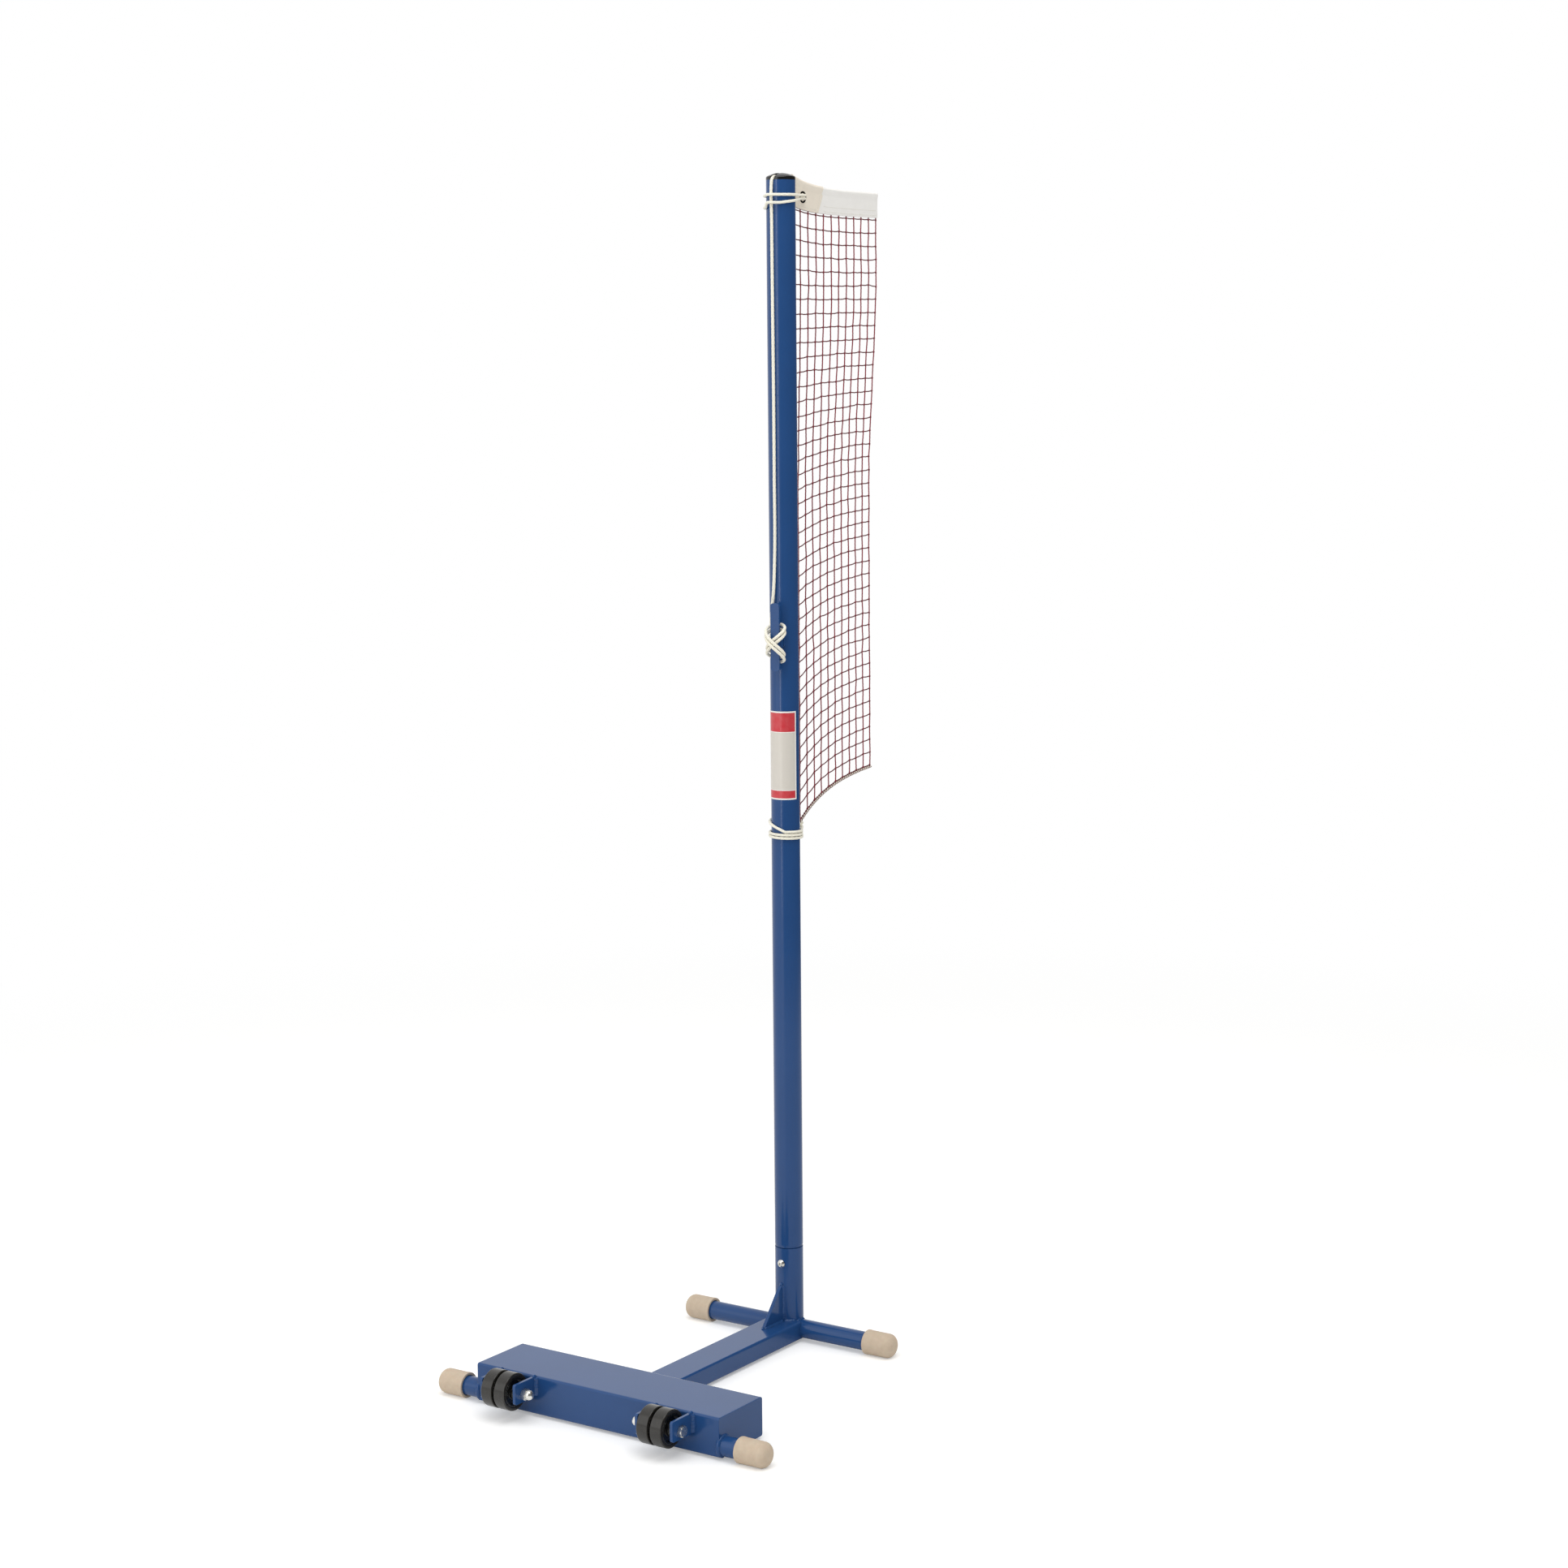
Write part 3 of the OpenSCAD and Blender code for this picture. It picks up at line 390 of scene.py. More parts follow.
def label_finish(name, colour):
    f = Finish(name, Specular_IOR_Level=0.5, Coat_Weight=0.3, Coat_Roughness=0.2)
    f.colour(f.mix(f.span(f.noise(120, 4), 0, 0.05), colour, linear(238, 236, 230)))
    f.rough(f.span(f.noise(200, 3), 0.3, 0.42))
    return f.bump(f.noise(300, 2), 0.03, 0.2 * mm).material


PAINT = paint_finish()
ZINC = metal_finish("zinc_plate", linear(232, 231, 226), linear(216, 214, 206), 0.24, (1, 1, 1))
STEEL = metal_finish("plain_steel", linear(150, 152, 155), linear(120, 121, 124), 0.34, (1, 1, 0.06))
DARK_METAL = metal_finish("black_eyelet", linear(46, 45, 42), linear(30, 30, 29), 0.28, (1, 1, 1))
RUBBER = rubber_finish()
GLOSS_BLACK = plastic_finish("black_plastic", linear(17, 17, 17), linear(25, 25, 24), 0.18, 0.06)
TREAD = plastic_finish("grey_tyre", linear(36, 34, 31), linear(44, 42, 38), 0.1, 0.05)
CANVAS = cloth_finish("beige_canvas", linear(248, 238, 222), linear(224, 214, 197), 0.9 * mm, 0.5)
TAPE = cloth_finish("white_tape", linear(253, 251, 247), linear(236, 233, 227), 0.6 * mm, 0.35)
STITCH = cord_finish("sewing_thread", linear(238, 234, 224), linear(212, 206, 192), 900)
CORD = cord_finish("cream_cord", linear(250, 247, 234), linear(234, 228, 208), 1400)
MAROON = cord_finish("maroon_twine", linear(166, 66, 78), linear(120, 44, 54), 700)
DARK_TWINE = cord_finish("dark_twine", linear(126, 56, 62), linear(86, 38, 43), 700)
LABEL_RED = label_finish("label_red", linear(202, 34, 48))
LABEL_PALE = label_finish("label_pale", linear(213, 207, 197))
LABEL_WHITE = label_finish("label_white", linear(240, 238, 233))

SLOTS = {part["node"]: part["material_slot"] for part in frame["record"]["subparts"]}
SLOT_FINISH = {"blue_paint": PAINT, "plain_steel": STEEL, "zinc": ZINC, "black_plastic": GLOSS_BLACK}


# Nodes whose solids stay, with finishes and eased edges
def dress(node, edge=0.0):
    obj = frame["nodes"][node]
    obj.data.materials.clear()
    obj.data.materials.append(SLOT_FINISH[SLOTS[node]])
    if edge:
        weld = obj.modifiers.new("join", "WELD")
        weld.merge_threshold = 0.001 * mm
        bevel = obj.modifiers.new("edges", "BEVEL")
        bevel.width = edge
        bevel.segments = 3
        bevel.limit_method = "ANGLE"
        bevel.angle_limit = math.radians(50)
        obj.modifiers.new("shading", "WEIGHTED_NORMAL")


def dress_nodes():
    for node in ("base_beam", "cross_tube_left", "cross_tube_right", "foot_tube_left", "foot_tube_right",
                 "ballast_block", "axle_spacers", "post_tube", "post_spigot", "socket_tube"):
        dress(node)
    for node in ("axle_bolts", "axle_nuts", "lock_screw"):
        dress(node, 0.35 * mm)
    dress("rope_cleat", 1.0 * mm)
    dress("top_cap", 0.45 * mm)
    for side in ("left_outer", "left_inner", "right_inner", "right_outer"):
        dress("lug_" + side, 0.6 * mm)
    dress("socket_gusset", 0.6 * mm)


def make_box():
    """Weight box and its two end plates, with the eased edges of bent sheet."""
    depth, height = BOX_HIGH[0] - BOX_LOW[0], BOX_HIGH[2] - BOX_LOW[2]
    bend, flush, eased = 3.5 * mm, 0.01 * mm, 0.8 * mm
    outline = rounded([(0, 0), (depth, 0), (depth, height), (0, height)], bend)
    for name, edges in (("weight_box", (flush, flush)), ("box_end_left", (eased, flush)),
                        ("box_end_right", (flush, eased))):
        start = (BOX_LOW[0], high(name)[1], BOX_LOW[2])
        thick = high(name)[1] - low(name)[1]
        part = plate(outline, start, thick, (1, 0, 0), (0, 0, 1), edges)
        Shape().add(part).piece("look_" + name, [PAINT], "base", "blue_paint", [name], flats=True)


# Welds: beads laid along the seams, with their middles sunk into the corner
WELD_R, WELD_SUNK = 3.4 * mm, 0.9 * mm
BEAD_WAVES = ((0.025, 3.4 * mm, 0), (0.045, 13.7 * mm, 1))
LUG_OUTSIDE, LUG_INSIDE = (5.4 * mm, 1.6 * mm), (1.8 * mm, 0.2 * mm)


def bead(path, radius, taper=2.5 * mm):
    """Bead along a path, uneven as a hand weld is, with short tapered ends."""
    path = smooth(path, 0.6 * mm)
    whole = run_of(path)[-1]

    def ripple(run, angle):
        waves = [share * np.sin(2 * np.pi * run / pitch + turn * angle) for share, pitch, turn in BEAD_WAVES]
        ends = np.sqrt(np.clip(np.minimum(run, whole - run) / taper, 0.01, 1))
        return (1 + sum(waves)) * ends

    return tube(path, radius, 20, ripple)


def ring_path(centre, radius, start, end, plane, count=40):
    """Arc in degrees round a centre, in the plane of two axes."""
    u, v = (np.eye(3)["xyz".index(c)] for c in plane)
    angles = np.radians(np.linspace(start, end, count))[:, None]
    return np.asarray(centre) + radius * (np.cos(angles) * u + np.sin(angles) * v)


def saddle_path(side, sunk):
    """Seam between a cross tube and the socket."""
    angle = np.radians(np.linspace(0, 360, 60))
    r = LEG_R - sunk
    x = r * np.sin(angle)
    return np.stack([x, side * (np.sqrt(POST_R**2 - x**2) - sunk), LEG_Z + r * np.cos(angle)], axis=1)


def gusset_welds(shape):
    half, top = high("socket_gusset")[1], high("socket_gusset")[2]
    toe = low("socket_gusset")[0]
    floor, tip, over = BEAM_TOP - WELD_SUNK, -POST_R + 0.4 * mm, 1 * mm
    for side in (-1, 1):
        y = side * (half - WELD_SUNK)
        back = WELD_SUNK - math.sqrt(POST_R**2 - half**2)
        upright = [(back, y, floor), (back, y, (BEAM_TOP + top) / 2), (back, y, top - over)]
        along = [(toe - over, y, floor), ((toe - POST_R) / 2, y, floor), (-POST_R, y, floor)]
        socket = ring_path((0, 0, floor), POST_R - WELD_SUNK, 180 - side * 8, 180 - side * 62, "xy")
        for path in (upright, along, socket, saddle_path(side, WELD_SUNK)):
            shape.add(bead(path, WELD_R))
    across_toe = [(toe - over, -half, floor), (toe - 1.6 * over, 0, floor), (toe - over, half, floor)]
    across_tip = [(tip, -half, top - over), (tip - 0.6 * over, 0, top), (tip, half, top - over)]
    shape.add(bead(across_toe, WELD_R)).add(bead(across_tip, 0.9 * WELD_R))


def box_welds(shape):
    x, inset, seam_r = BOX_HIGH[0] - WELD_SUNK, 0.8 * mm, 2.2 * mm
    for side in (-1, 1):
        y = side * (high("box_end_left")[1] - WELD_SUNK)
        shape.add(bead(ring_path((REAR_X, y, LEG_Z), LEG_R - WELD_SUNK, -88, 268, "xz", 60), WELD_R))
        seam = [(x, side * (BEAM_HALF - 1 * mm), BASE_Z + 2 * mm),
                (x, side * (BEAM_HALF - inset), BEAM_TOP - 3 * mm),
                (x, side * (BEAM_HALF - 3 * mm), BEAM_TOP - inset),
                (x, 0, BEAM_TOP - inset)]
        shape.add(bead(seam, seam_r))


def lug_welds(shape):
    """Broad band up the outer face of each lug, a thin one inside by the wheel, and a run over the top."""
    for side in ("left", "right"):
        ends = [low("lug_" + side + "_outer"), low("lug_" + side + "_inner")]
        middle = (min(e[1] for e in ends) + max(e[1] for e in ends)) / 2
        for lug in ("outer", "inner"):
            lo, hi = low("lug_" + side + "_" + lug), high("lug_" + side + "_" + lug)
            faces = (lo[1], hi[1]) if lo[1] < middle else (hi[1], lo[1])
            for face, (r, sunk) in zip(faces, (LUG_OUTSIDE, LUG_INSIDE)):
                y = face + math.copysign(sunk, (lo[1] + hi[1]) / 2 - face)
                x = BOX_LOW[0] + sunk
                shape.add(bead([(x, y, lo[2] + z * mm) for z in (0.5, 8, 16, 25.5)], r, 1.4 * mm))
            y = (lo[1] + hi[1]) / 2
            over = ((-4.5, -1.2), (-1, -0.5), (2.5, -1.4))
            shape.add(bead([(BOX_LOW[0] + d * mm, y, hi[2] + z * mm) for d, z in over], 2.8 * mm))


def make_welds():
    shape = Shape()
    for part in (gusset_welds, box_welds, lug_welds):
        part(shape)
    shape.piece("base_welds", [PAINT], "base", "blue_paint")
    stem = Shape()
    out = np.array((math.cos(CLEAT_AZ), math.sin(CLEAT_AZ), 0))
    across = np.array((-out[1], out[0], 0))
    for side in (-1, 1):
        for u, r in ((POST_R - 0.6 * mm, 1.7 * mm), (31 * mm, 1.2 * mm)):
            foot = out * u + across * side * 6.2 * mm
            stem.add(bead([foot + (0, 0, LASH_Z + z * mm) for z in (-9.5, 0, 9.5)], r))
    stem.piece("cleat_welds", [PAINT], "post", "blue_paint")


# Rubber feet
def make_feet():
    for node, x, side in (("foot_front_left", 0, 1), ("foot_front_right", 0, -1),
                          ("foot_rear_left", REAR_X, 1), ("foot_rear_right", REAR_X, -1)):
        lo, hi = low(node), high(node)
        r, length = (hi[0] - lo[0]) / 2, hi[1] - lo[1]
        open_end = lo[1] if side > 0 else hi[1]
        bore, side_r, crown_r = LEG_R + 0.06 * mm, r - 0.3 * mm, 10 * mm
        lip = rounded([(bore, 7 * mm), (bore, 1.2 * mm), (LEG_R + 0.9 * mm, 0), (r, 0), (r, 4 * mm),
                       (r - 0.25 * mm, 5 * mm)], 0.9 * mm, 4, False)
        crown = [(side_r, 0.5 * length)]
        crown += [(side_r - crown_r * (1 - math.cos(a)), length - crown_r * (1 - math.sin(a)))
                  for a in np.radians(np.linspace(0, 90, 16))]
        profile = np.concatenate([lip, crown, [(3 * mm, length), (0, length)]])
        verts, faces = lathe(profile, (x, open_end, LEG_Z), (0, side, 0))
        verts[:, 2] = np.maximum(verts[:, 2], 0)
        foot = Shape().add((verts, faces))
        foot.piece("look_" + node, [RUBBER], "base", "cream_rubber", [node], flats=True)


# Wheels
def make_wheels():
    for side in ("left_outer", "left_inner", "right_inner", "right_outer"):
        body = side + "_wheel"
        lo, hi = low("tyre_" + side), high("tyre_" + side)
        r, w = (hi[2] - lo[2]) / 2, hi[1] - lo[1]
        rim = high("wheel_" + side)[2] - AXLE_Z
        centre = (AXLE_X, (lo[1] + hi[1]) / 2, AXLE_Z)
        half = w / 2
        tread = [(rim + 0.05 * mm, half - 0.4 * mm), (rim + 0.8 * mm, half), (r, half)]
        tread = rounded(tread + [(a, -h) for a, h in reversed(tread)], 1.5 * mm, 6, False)
        tyre = Shape().add(lathe(np.concatenate([tread, tread[:1]]), centre, (0, 1, 0), 128))
        tyre.piece("look_tyre_" + side, [TREAD], body, "grey_tyre", ["tyre_" + side], flats=True)
        bore, hub, web = 4.08 * mm, 8.5 * mm, half - 3.5 * mm
        dish = [(bore, half), (hub, half), (hub + 0.5 * mm, web), (rim - 4.2 * mm, web),
                (rim - 3.4 * mm, web + 1.2 * mm), (rim - 3 * mm, half - 0.4 * mm), (rim, half - 0.4 * mm)]
        dish = rounded(dish + [(a, -h) for a, h in reversed(dish)], 0.7 * mm, 4)
        wheel = Shape().add(lathe(np.concatenate([dish, dish[:1]]), centre, (0, 1, 0), 128))
        wheel.piece("look_wheel_" + side, [GLOSS_BLACK], body, "black_plastic", ["wheel_" + side],
                    flats=True)


# Label: blank bands of colour on the post
LABEL_LOW, LABEL_HIGH = 739 * mm, 856 * mm
LABEL_START, LABEL_END, LABEL_BORDER, LABEL_T = 100, 263, 2 * mm, 0.12 * mm
LABEL_BANDS = ((LABEL_HIGH - 27 * mm, LABEL_HIGH - LABEL_BORDER, 1),
               (LABEL_LOW + 13 * mm, LABEL_HIGH - 28 * mm, 2),
               (LABEL_LOW + LABEL_BORDER, LABEL_LOW + 12 * mm, 1))


def on_cylinder(start, end, bottom, top, radius, count):
    """Band on the post's face between two angles and two heights."""
    angle = np.radians(np.linspace(start, end, count))
    x, y = radius * np.cos(angle), radius * np.sin(angle)
    rows = [np.stack([x, y, np.full(count, z)], axis=1) for z in (bottom, top)]
    return np.concatenate(rows), grid_faces(2, count, False)


def make_label():
    shape = Shape()
    count = 48
    verts = np.concatenate([on_cylinder(LABEL_START, LABEL_END, LABEL_LOW, LABEL_HIGH, radius, count)[0]
                            for radius in (POST_R + 0.02 * mm, POST_R + LABEL_T)])
    rim = [*range(count), *range(2 * count - 1, count - 1, -1)]
    faces = [(a, b, b + 2 * count, a + 2 * count) for a, b in zip(rim, rim[1:] + rim[:1])]
    faces += [tuple(2 * count + i for i in f) for f in grid_faces(2, count, False)]
    shape.add((verts, faces), 0)
    trim, face = math.degrees(LABEL_BORDER / POST_R), POST_R + LABEL_T + 0.03 * mm
    for bottom, top, mark in LABEL_BANDS:
        shape.add(on_cylinder(LABEL_START + trim, LABEL_END - trim, bottom, top, face, count), mark)
    shape.piece("blank_label", [LABEL_WHITE, LABEL_RED, LABEL_PALE], "post", "white_tape")


# Net
def tape_top(x):
    return TAPE_TOP + TAPE_RISE * np.exp(-x / TAPE_FADE)


def tape_depth(x):
    return TAPE_W + TAPE_FLARE * np.exp(-x / TAPE_FADE)


def net_bottom(x):
    return TAPE_TOP - NET_DEPTH - CORNER_DROP * np.exp(-x / CORNER_FADE)


def column_x(k, v):
    """Place along X of a column of knots at a share of the net's depth: the columns lean toward the post."""
    t = min(1, max(0, (v - 0.08) / 0.42))
    lean = (4 if k == 0 else 9 + k) * mm
    return NET_EDGE + MESH_W * k - lean * t * t * (3 - 2 * t) + (8 * mm * v**6 if k == 0 else 0)


def net_knots():
    """Places of the knots, by column and row, with the small unevenness of a hand-tied net."""
    stray = np.random.default_rng(5).normal(0, 0.45 * mm, (NET_COLS + 1, NET_ROWS + 1, 2))
    knots = np.zeros((NET_COLS + 1, NET_ROWS + 1, 3))
    for k in range(NET_COLS + 1):
        for j in range(NET_ROWS + 1):
            v = j / NET_ROWS
            x = column_x(k, v)
            top = tape_top(x) - tape_depth(x) - NET_LEAD
            bottom = net_bottom(x) + LINE_R + SOFT_GAP + 0.8 * mm
            loose = 1 if 0 < j < NET_ROWS else 0
            knots[k, j] = x + loose * stray[k, j, 0], 0, top * (1 - v) + bottom * v + loose * stray[k, j, 1]
    return knots


def twist(plies, pitch, depth):
    """Relief of twisted plies."""
    return lambda run, angle: 1 + depth * np.cos(plies * (angle - 2 * np.pi * run / pitch))


def knot_part(place, turn):
    """Small wrapped knot: a short coil round a crossing."""
    t = np.linspace(0, 3.2 * np.pi, 15)
    r = 1.05 * mm
    coil = np.stack([r * np.cos(t), 0.7 * r * np.sin(t), (t / t[-1] - 0.5) * 2.6 * mm], axis=1)
    return tube(np.asarray(place) + turned(coil, turn), 0.62 * mm, 5)


def make_net():
    knots = net_knots()
    ply = twist(3, 15 * mm, 0.13)
    step = 2 * mm
    shape = Shape()
    for column in knots:
        sewn = column[0] + (0, 0, NET_LEAD + NET_TUCK)
        shape.add(tube(smooth([sewn, *column], step), TWINE_R, 6, ply), 0)
    for row in knots.transpose(1, 0, 2):
        sagged = [row[0]]
        for a, b in zip(row[:-1], row[1:]):
            sagged += [(a + b) / 2 - (0, 0, 0.5 * mm), b]
        shape.add(tube(smooth(sagged, step), 0.95 * TWINE_R, 6, ply), 1)
    turns = np.random.default_rng(8).uniform(0.5, 1.1, (NET_COLS + 1, NET_ROWS + 1))
    for k in range(NET_COLS + 1):
        for j in range(NET_ROWS + 1):
            shape.add(knot_part(knots[k, j], turns[k, j]), 0)
    shape.piece("look_net", [MAROON, DARK_TWINE], "post", "net_twine", ["net_mesh"], 180)


def line_path():
    x = np.linspace(column_x(0, 1), column_x(NET_COLS, 1) + 1.6 * mm, 60)
    return np.stack([x, 0 * x, net_bottom(x)], axis=1)


def make_bottom_line():
    path = smooth(line_path(), 0.9 * mm)
    shape = Shape().add(tube(path, LINE_R, 12, twist(3, 9 * mm, 0.08)), 0)
    run = run_of(path)
    angle = 2 * np.pi * run / (MESH_W / 4)
    r = LINE_R + 0.5 * mm
    lashing = path + np.stack([0 * run, r * np.sin(angle), r * np.cos(angle) + 0.4 * mm], axis=1)
    shape.add(tube(smooth(lashing, 0.7 * mm), 0.45 * mm, 6), 1)
    shape.piece("look_bottom_line", [CORD, DARK_TWINE], "post", "cream_cord", ["bottom_line"], 180)


# Cloth: the folded tape and the canvas patch
HEM_R = CORD_R + SOFT_GAP
HEM_C = HEM_R + TAPE_T
PLY_GAP = 0.8 * mm + SOFT_GAP / 2


def fold_section(radius, half, count=12):
    """Half-open section of a fold: across, depth below the top edge, and share of the way down."""
    taper = 3 * HEM_C
    down = [(half, taper, s) for s in np.linspace(1, 0, count)]
    over = [(radius * math.cos(a), HEM_C - radius * math.sin(a), 0) for a in np.linspace(0, math.pi, count)]
    return down + over + [(-half, taper, s) for s in np.linspace(0, 1, count)]


def folded(layer, x0, x1, slant, steps, ripple):
    """Thin closed cloth folded over the head cord from x0 to x1, layer cloths out from it."""
    lift = layer * (TAPE_T + SOFT_GAP / 2)
    outer = fold_section(HEM_R + lift + TAPE_T, PLY_GAP + lift + TAPE_T)
    inner = fold_section(HEM_R + lift, PLY_GAP + lift)
    ring = outer + inner[::-1]
    rows = []
    for s in np.linspace(0, 1, steps):
        row = []
        for across, depth, share in ring:
            x = x0 + s * (x1 - x0 - slant * min(1, share + depth * (share == 0) / TAPE_W))
            deep = depth * (1 - share) + tape_depth(x) * share
            belly = ripple * share * math.sin(math.pi * min(1, 1.4 * share))
            wave = belly * math.sin(x / (9 * mm) + 3 * share)
            wave += 0.3 * ripple * share * math.sin(x / (3.7 * mm))
            row.append((x, across + wave, tape_top(x) - deep))
        rows.append(row)
    n, m = len(ring), len(outer)
    faces = grid_faces(steps, n, True)
    for start, flip in ((0, 1), ((steps - 1) * n, -1)):
        faces += [tuple(start + i for i in (a, a + 1, n - 2 - a, n - 1 - a)[::flip]) for a in range(m - 1)]
    return np.array(rows).reshape(-1, 3), [f[::-1] for f in faces]


def cut_hole(obj, radius):
    """Opens a round hole through a piece for the eyelet."""
    path = [(EYELET_X, y, EYELET_Z) for y in (-POST_R, 0, POST_R)]
    drill = Shape().add(tube(path, radius, 48)).piece("drill", [], "post", "canvas")
    cutter = obj.modifiers.new("hole", "BOOLEAN")
    cutter.object = drill
    cutter.solver = "EXACT"
    bpy.context.view_layer.update()
    solved = obj.evaluated_get(bpy.context.evaluated_depsgraph_get())
    mesh = bpy.data.meshes.new_from_object(solved)
    obj.modifiers.clear()
    obj.data = mesh
    bpy.data.objects.remove(drill)


def stitches(path, side, pitch=3.2 * mm):
    """Row of thread stitches along a path on one face of the cloth."""
    run = run_of(path)
    parts = []
    for at in np.arange(pitch, run[-1] - pitch, pitch):
        places = [at + share * pitch for share in (0, 0.35, 0.7)]
        thread = np.array([[np.interp(place, run, path[:, i]) for i in range(3)] for place in places])
        lift = np.array([(0, side * h, 0) for h in (-0.25 * mm, 0.12 * mm, -0.25 * mm)])
        parts.append(tube(smooth(thread + lift, 0.5 * mm), 0.28 * mm, 6))
    return parts


def make_cloth():
    x0, x1 = PATCH_X + 2 * mm, high("head_tape")[0]
    tape = Shape().add(folded(0, x0, x1, 0, 110, 0.35 * mm))
    tape = tape.piece("look_head_tape", [TAPE], "post", "white_tape", ["head_tape"])
    patch = Shape().add(folded(1, PATCH_X, PATCH_END, PATCH_SLANT, 60, 0.3 * mm))
    patch = patch.piece("look_corner_patch", [CANVAS], "post", "canvas", ["corner_patch"])
    for cloth in (tape, patch):
        cut_hole(cloth, EYELET_R + EYELET_T + 0.05 * mm)
    tape_seam, patch_seam = Shape(), Shape()
    for side in (-1, 1):
        y = side * (PLY_GAP + TAPE_T)
        x = np.linspace(PATCH_END, x1 - 2 * mm, 120)
        for up in (3 * mm, 9.5 * mm):
            for part in stitches(np.stack([x, 0 * x + y, tape_top(x) - tape_depth(x) + up], axis=1), side):
                tape_seam.add(part)
        y += side * (TAPE_T + SOFT_GAP / 2)
        edge = 3.5 * mm
        x = np.linspace(PATCH_X + edge, PATCH_END - PATCH_SLANT - edge, 60)
        below = np.stack([x, 0 * x + y, tape_top(x) - tape_depth(x) + edge], axis=1)
        s = np.linspace(0.25, 0.9, 30)
        x = PATCH_END - edge - PATCH_SLANT * s
        slanted = np.stack([x, 0 * x + y, tape_top(x) - tape_depth(x) * s], axis=1)
        for path in (below, slanted):
            for part in stitches(path, side):
                patch_seam.add(part)
    tape_seam = tape_seam.piece("tape_stitching", [STITCH], "post", "white_tape")
    patch_seam = patch_seam.piece("patch_stitching", [STITCH], "post", "canvas")


def make_eyelet():
    half = high("eyelet")[1]
    inner, outer = EYELET_R, EYELET_R + EYELET_T + EYELET_FLANGE
    flat = half - 1.1 * mm
    curl = [(outer, flat), (outer, half - 0.4 * mm), (outer - 0.8 * mm, half),
            (inner + 0.5 * mm, half - 0.1 * mm), (inner, half - 0.8 * mm)]
    barrel = [(inner + EYELET_T, -flat), (inner + EYELET_T, flat)]
    profile = rounded(curl + [(r, -h) for r, h in reversed(curl)] + barrel, 0.6 * mm)
    ring = lathe(np.concatenate([profile, profile[:1]]), (EYELET_X, 0, EYELET_Z), (0, 1, 0), 64)
    Shape().add(ring).piece("look_eyelet", [DARK_METAL], "post", "dark_metal", ["eyelet"])


# Cords: the routes of the model's solids, as braided cord
def on_post(degrees, z, radius, lift=0.0):
    d = POST_R + radius + SOFT_GAP + lift
    return d * math.cos(math.radians(degrees)), d * math.sin(math.radians(degrees)), z


def by_cleat(u, t, z):
    """Place by the cleat: out from the post's axis, across, and up from the stem's middle."""
    c, s = math.cos(CLEAT_AZ), math.sin(CLEAT_AZ)
    return u * c - t * s, u * s + t * c, LASH_Z + z


LASH_TURNS, LASH_START = 2, -90


def lash(degrees):
    """Winding on the cleat: figures of eight behind the horns that cross in front of the stem."""
    a = math.radians(degrees)
    out = HORN_MID + 9 * mm * math.cos(2 * a) + 2.6 * mm * math.cos(a)
    up = 20 * mm * math.sin(a) + 6.4 * mm * ((degrees - LASH_START) / 360 - LASH_TURNS / 2) - 3 * mm
    return by_cleat(out, -12 * mm * math.sin(2 * a), up)


def head_route():
    tape_end = high("head_tape")[0]
    hem = [(x, 0, tape_top(x) - HEM_C) for x in np.arange(tape_end - 4 * mm, 30 * mm, -22 * mm)]
    groove_deep, bend = 7.4 * mm, 5.7 * mm
    groove_z = CAP_TOP - groove_deep + SOFT_GAP + CORD_R
    lead = bend + SOFT_GAP + CORD_R
    cap = [(x * mm, 0, groove_z) for x in (20, 10, 0)]
    cap += [(bend - POST_R + lead * math.cos(a), 0, CAP_TOP - groove_deep - bend + lead * math.sin(a))
            for a in np.radians(np.arange(90, 181, 15))]
    down = ((180, 540), (181, 430), (182, 320), (182, 210), (181, 110))
    post = [on_post(a, LASH_Z + z * mm, CORD_R) for a, z in down]
    behind = ((22.4, -6.6, 59), (21.5, -9, 39), (19.5, -11.3, 14), (19.2, -11.5, -6), (19.6, -11, -19),
              (21, -9, -26), (23, -5.5, -29))
    cleat = [by_cleat(u * mm, t * mm, z * mm) for u, t, z in behind]
    winding = [lash(LASH_START + 15 * i) for i in range(24 * LASH_TURNS + 1)]
    return hem + cap + post + cleat + winding + [lash(LASH_START + 360 * LASH_TURNS + 20)]


EYE_Y = PLY_GAP + 2 * TAPE_T + SOFT_GAP / 2 + EYELET_T + TIE_R + SOFT_GAP


def tie_round(z0, z1, z2):
    """One round of the upper tie on the post, over the head cord, with heights from the eyelet's middle."""
    over = 2 * CORD_R + SOFT_GAP
    return ([on_post(-62 - 14 * s, EYELET_Z + z0 + (z1 - z0) * s / 6, TIE_R) for s in range(7)]
            + [on_post(a, EYELET_Z + z1, TIE_R, over) for a in (-172, -188)]
            + [on_post(-214 - 14 * s, EYELET_Z + z2, TIE_R) for s in range(7)])


def by_eyelet(x, y, z):
    """Place by the eyelet, with y out from where a cord lies against it."""
    return EYELET_X + x * mm, math.copysign(EYE_Y, y) + y * mm, EYELET_Z + z


def upper_route():
    step = TIE_R + SOFT_GAP
    eye = [[(EYELET_X, EYE_Y * s / 2, EYELET_Z + z) for s in (2, 1, 0, -1, -2)] for z in (step, -step)]
    first = [by_eyelet(0, 3.5, step)] + eye[0] + [by_eyelet(-7, -3, step)] + tie_round(1 * mm, 1 * mm, 0)
    back = [by_eyelet(-9, 4, -step), by_eyelet(-3, 2, -step)] + eye[1] + [by_eyelet(-7, -2.4, -step)]
    second = tie_round(-5 * mm, -9 * mm, -15 * mm)
    return first + back + second + [by_eyelet(-13, 4, -10 * mm), by_eyelet(-5, 2.5, -8 * mm)]


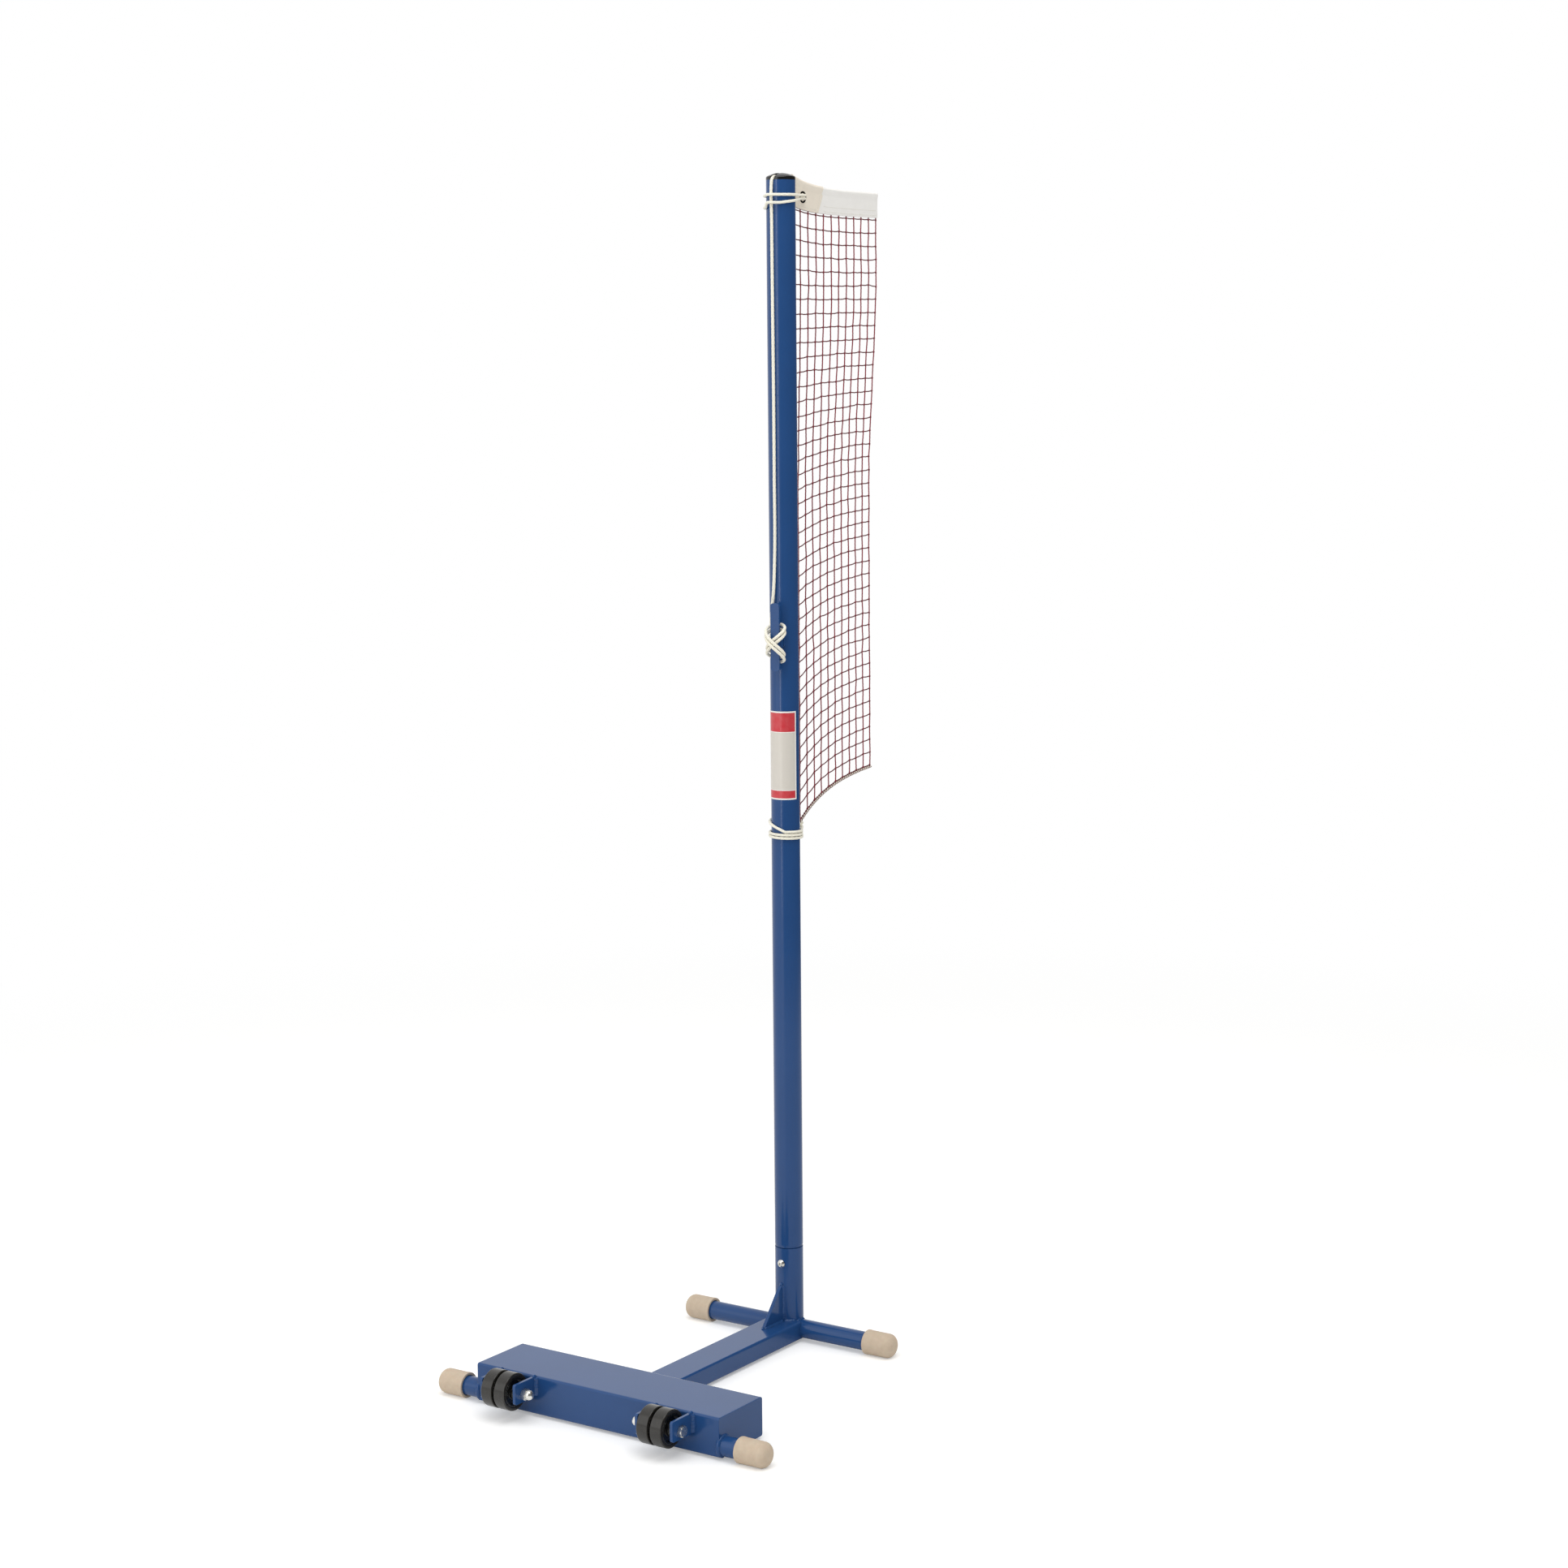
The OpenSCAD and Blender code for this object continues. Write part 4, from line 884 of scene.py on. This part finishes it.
NET_CORNER = np.array((column_x(0, 1) + 2 * TIE_R, TIE_R + LINE_R + SOFT_GAP, net_bottom(column_x(0, 1))))


def lower_route():
    z = NET_CORNER[2] - 3 * mm
    step = 2 * TIE_R + 2.4 * SOFT_GAP
    start = [NET_CORNER + np.array(d) * mm for d in ((0, 0, 6), (-8, 5.5, 9))]
    rise = [on_post(52 + 16 * s, z + 14 * mm * (1 - (s / 10) ** 2), TIE_R) for s in range(10)]
    turns = [on_post(a, z - step * (a - 212) / 360, TIE_R) for a in range(212, 1021, 16)]
    end = [NET_CORNER * (1, -1, 1) + np.array(d) * mm for d in
           ((-16.4, -10.6, -12.2), (-10.9, -6.5, -10.7), (-5.9, -3, -6.7), (0, 0, -2.7))]
    return start + rise + turns + end


BRAID_PITCH, BRAID_DEPTH, CORD_STEP = 7 * mm, 0.1, 0.7 * mm


def braid(run, angle):
    """Relief of a braid: strands that run round both ways, over and under."""
    phase = 2 * np.pi * run / BRAID_PITCH
    return 1 + BRAID_DEPTH * (np.maximum(np.cos(4 * angle + phase), np.cos(4 * angle - phase)) - 0.5)


def overhand(centre, size, radius, turn):
    """Pulled-tight knot: a trefoil of cord."""
    t = np.linspace(0, 2 * np.pi, 72)
    x, z = np.sin(t) + 2 * np.sin(2 * t), np.cos(t) - 2 * np.cos(2 * t)
    loop = turned(np.stack([x, 0.8 * np.sin(3 * t), z], axis=1), turn)
    return tube(np.asarray(centre) + size / 3 * loop, radius, 16, braid)


def make_cords():
    routes = (("head_cord", head_route(), CORD_R, None),
              ("upper_tie", upper_route(), TIE_R, (by_eyelet(-3, 4.2, -2 * mm), 4.2 * mm)),
              ("lower_tie", lower_route(), TIE_R, (NET_CORNER * (1, 0, 1), 4.6 * mm)))
    for node, route, radius, knot in routes:
        path = smooth(route, CORD_STEP)
        name = "look_" + node
        cord = Shape().add(tube(path, radius, 24, braid))
        cord = cord.piece(name, [CORD], "post", "cream_cord", [node], 180)
        tied = []
        if knot:
            loops = Shape().add(overhand(*knot, TIE_R, 0.4))
            tied = [loops.piece(name + "_knot", [CORD], "post", "cream_cord", (), 180)]


# Stage: a pale floor, a white background and soft studio light
FLOOR_R, FLOOR_GLOW, FLOOR_FADE = 3.2, 0.3, (0.5, 0.9)
DIM_AZ, DIM_EDGE, DIM_LEVEL = math.radians(280), (-0.17, 0.17), 0.1
FILL_LIGHT = 0.68
FLOOR_SIDES = 96
LAMPS = (("overhead", (-0.9, -0.5, 3.4), (-0.2, 0, 0.4), (2.1, 2.1), 37),
         ("left_box", around(159, 2.6, 1.5), (0, 0, 0.8), (2.2, 2.2), 8),
         ("strip", around(180, 2.6, 1.2), (0, 0, 0.8), (0.18, 2.2), 5))


class Studio(Nodes):
    """Nodes of the stage: what rays of each kind see of the background."""

    def __init__(self, tree):
        super().__init__(tree)
        rays = self.node("LightPath").outputs
        self.camera = rays["Is Camera Ray"]
        mirrored = self.math("MAXIMUM", rays["Is Glossy Ray"], rays["Is Transmission Ray"])
        self.seen = self.math("MAXIMUM", self.camera, mirrored)

    def span(self, value, low_in, high_in, low_out, high_out, kind="LINEAR"):
        inputs = {"Value": value, "From Min": low_in, "From Max": high_in, "To Min": low_out,
                  "To Max": high_out}
        return self.node("MapRange", inputs, interpolation_type=kind).outputs[0]

    def background(self, place):
        """Strength of the background: white, and dim on one side where only reflections show it."""
        way = self.node("VectorMath", {0: place}, operation="NORMALIZE").outputs["Vector"]
        dim_way = (math.cos(DIM_AZ), math.sin(DIM_AZ), 0)
        toward = self.node("VectorMath", {0: way, 1: dim_way}, operation="DOT_PRODUCT").outputs["Value"]
        dim = self.span(toward, *DIM_EDGE, 1.0, DIM_LEVEL, "SMOOTHSTEP")
        return self.span(self.camera, 0.0, 1.0, dim, 1.0)


def make_floor():
    """Pale floor that keeps the object's shadow and turns to the white of the background further out."""
    mesh = bpy.data.meshes.new("floor")
    rim = [around(360 * i / FLOOR_SIDES, FLOOR_R, 0) for i in range(FLOOR_SIDES)]
    mesh.from_pydata(rim, [], [tuple(range(FLOOR_SIDES))])
    floor = bpy.data.objects.new("floor", mesh)
    scene.collection.objects.link(floor)
    f = Finish("pale_floor", Base_Color=(0.86, 0.86, 0.85, 1), Roughness=0.9, Specular_IOR_Level=0.1)
    studio = Studio(f.tree)
    level = studio.math("MULTIPLY", studio.seen, studio.background(f.place))
    glow = studio.node("Emission", {"Strength": studio.math("MULTIPLY", level, FLOOR_GLOW)}).outputs[0]
    near = studio.node("AddShader", {0: f.shader.outputs[0], 1: glow}).outputs[0]
    away = studio.node("VectorMath", {0: f.place}, operation="LENGTH").outputs["Value"]
    start, end = (FLOOR_R * share for share in FLOOR_FADE)
    far = studio.math("MULTIPLY", studio.seen, studio.span(away, start, end, 0.0, 1.0, "SMOOTHSTEP"))
    white = studio.node("Emission", {"Strength": level}).outputs[0]
    both = studio.node("MixShader", {0: far, 1: near, 2: white}).outputs[0]
    f.tree.links.new(both, f.tree.nodes["Material Output"].inputs["Surface"])
    mesh.materials.append(f.material)


def make_world():
    world = bpy.data.worlds.new("studio")
    world.use_nodes = True
    scene.world = world
    studio = Studio(world.node_tree)
    way = studio.node("TexCoord").outputs["Generated"]
    level = studio.span(studio.seen, 0.0, 1.0, FILL_LIGHT, studio.background(way))
    background = world.node_tree.nodes["Background"]
    background.inputs["Color"].default_value = (1, 1, 1, 1)
    world.node_tree.links.new(level, background.inputs["Strength"])


def add_lamp(name, place, target, size, power):
    data = bpy.data.lights.new(name, "AREA")
    data.shape = "RECTANGLE"
    data.size, data.size_y = size
    data.energy = power
    lamp = bpy.data.objects.new(name, data)
    lamp.location = place
    lamp.rotation_euler = (Vector(target) - Vector(place)).to_track_quat("-Z", "Y").to_euler()
    lamp.visible_camera = False
    scene.collection.objects.link(lamp)


def make_light():
    for lamp in LAMPS:
        add_lamp(*lamp)


make_camera()
make_cords()
dress_nodes()
make_box()
make_welds()
make_feet()
make_wheels()
make_label()
make_net()
make_bottom_line()
make_cloth()
make_eyelet()
make_floor()
make_world()
make_light()
scene.view_settings.view_transform = "Standard"

bpy.context.view_layer.update()
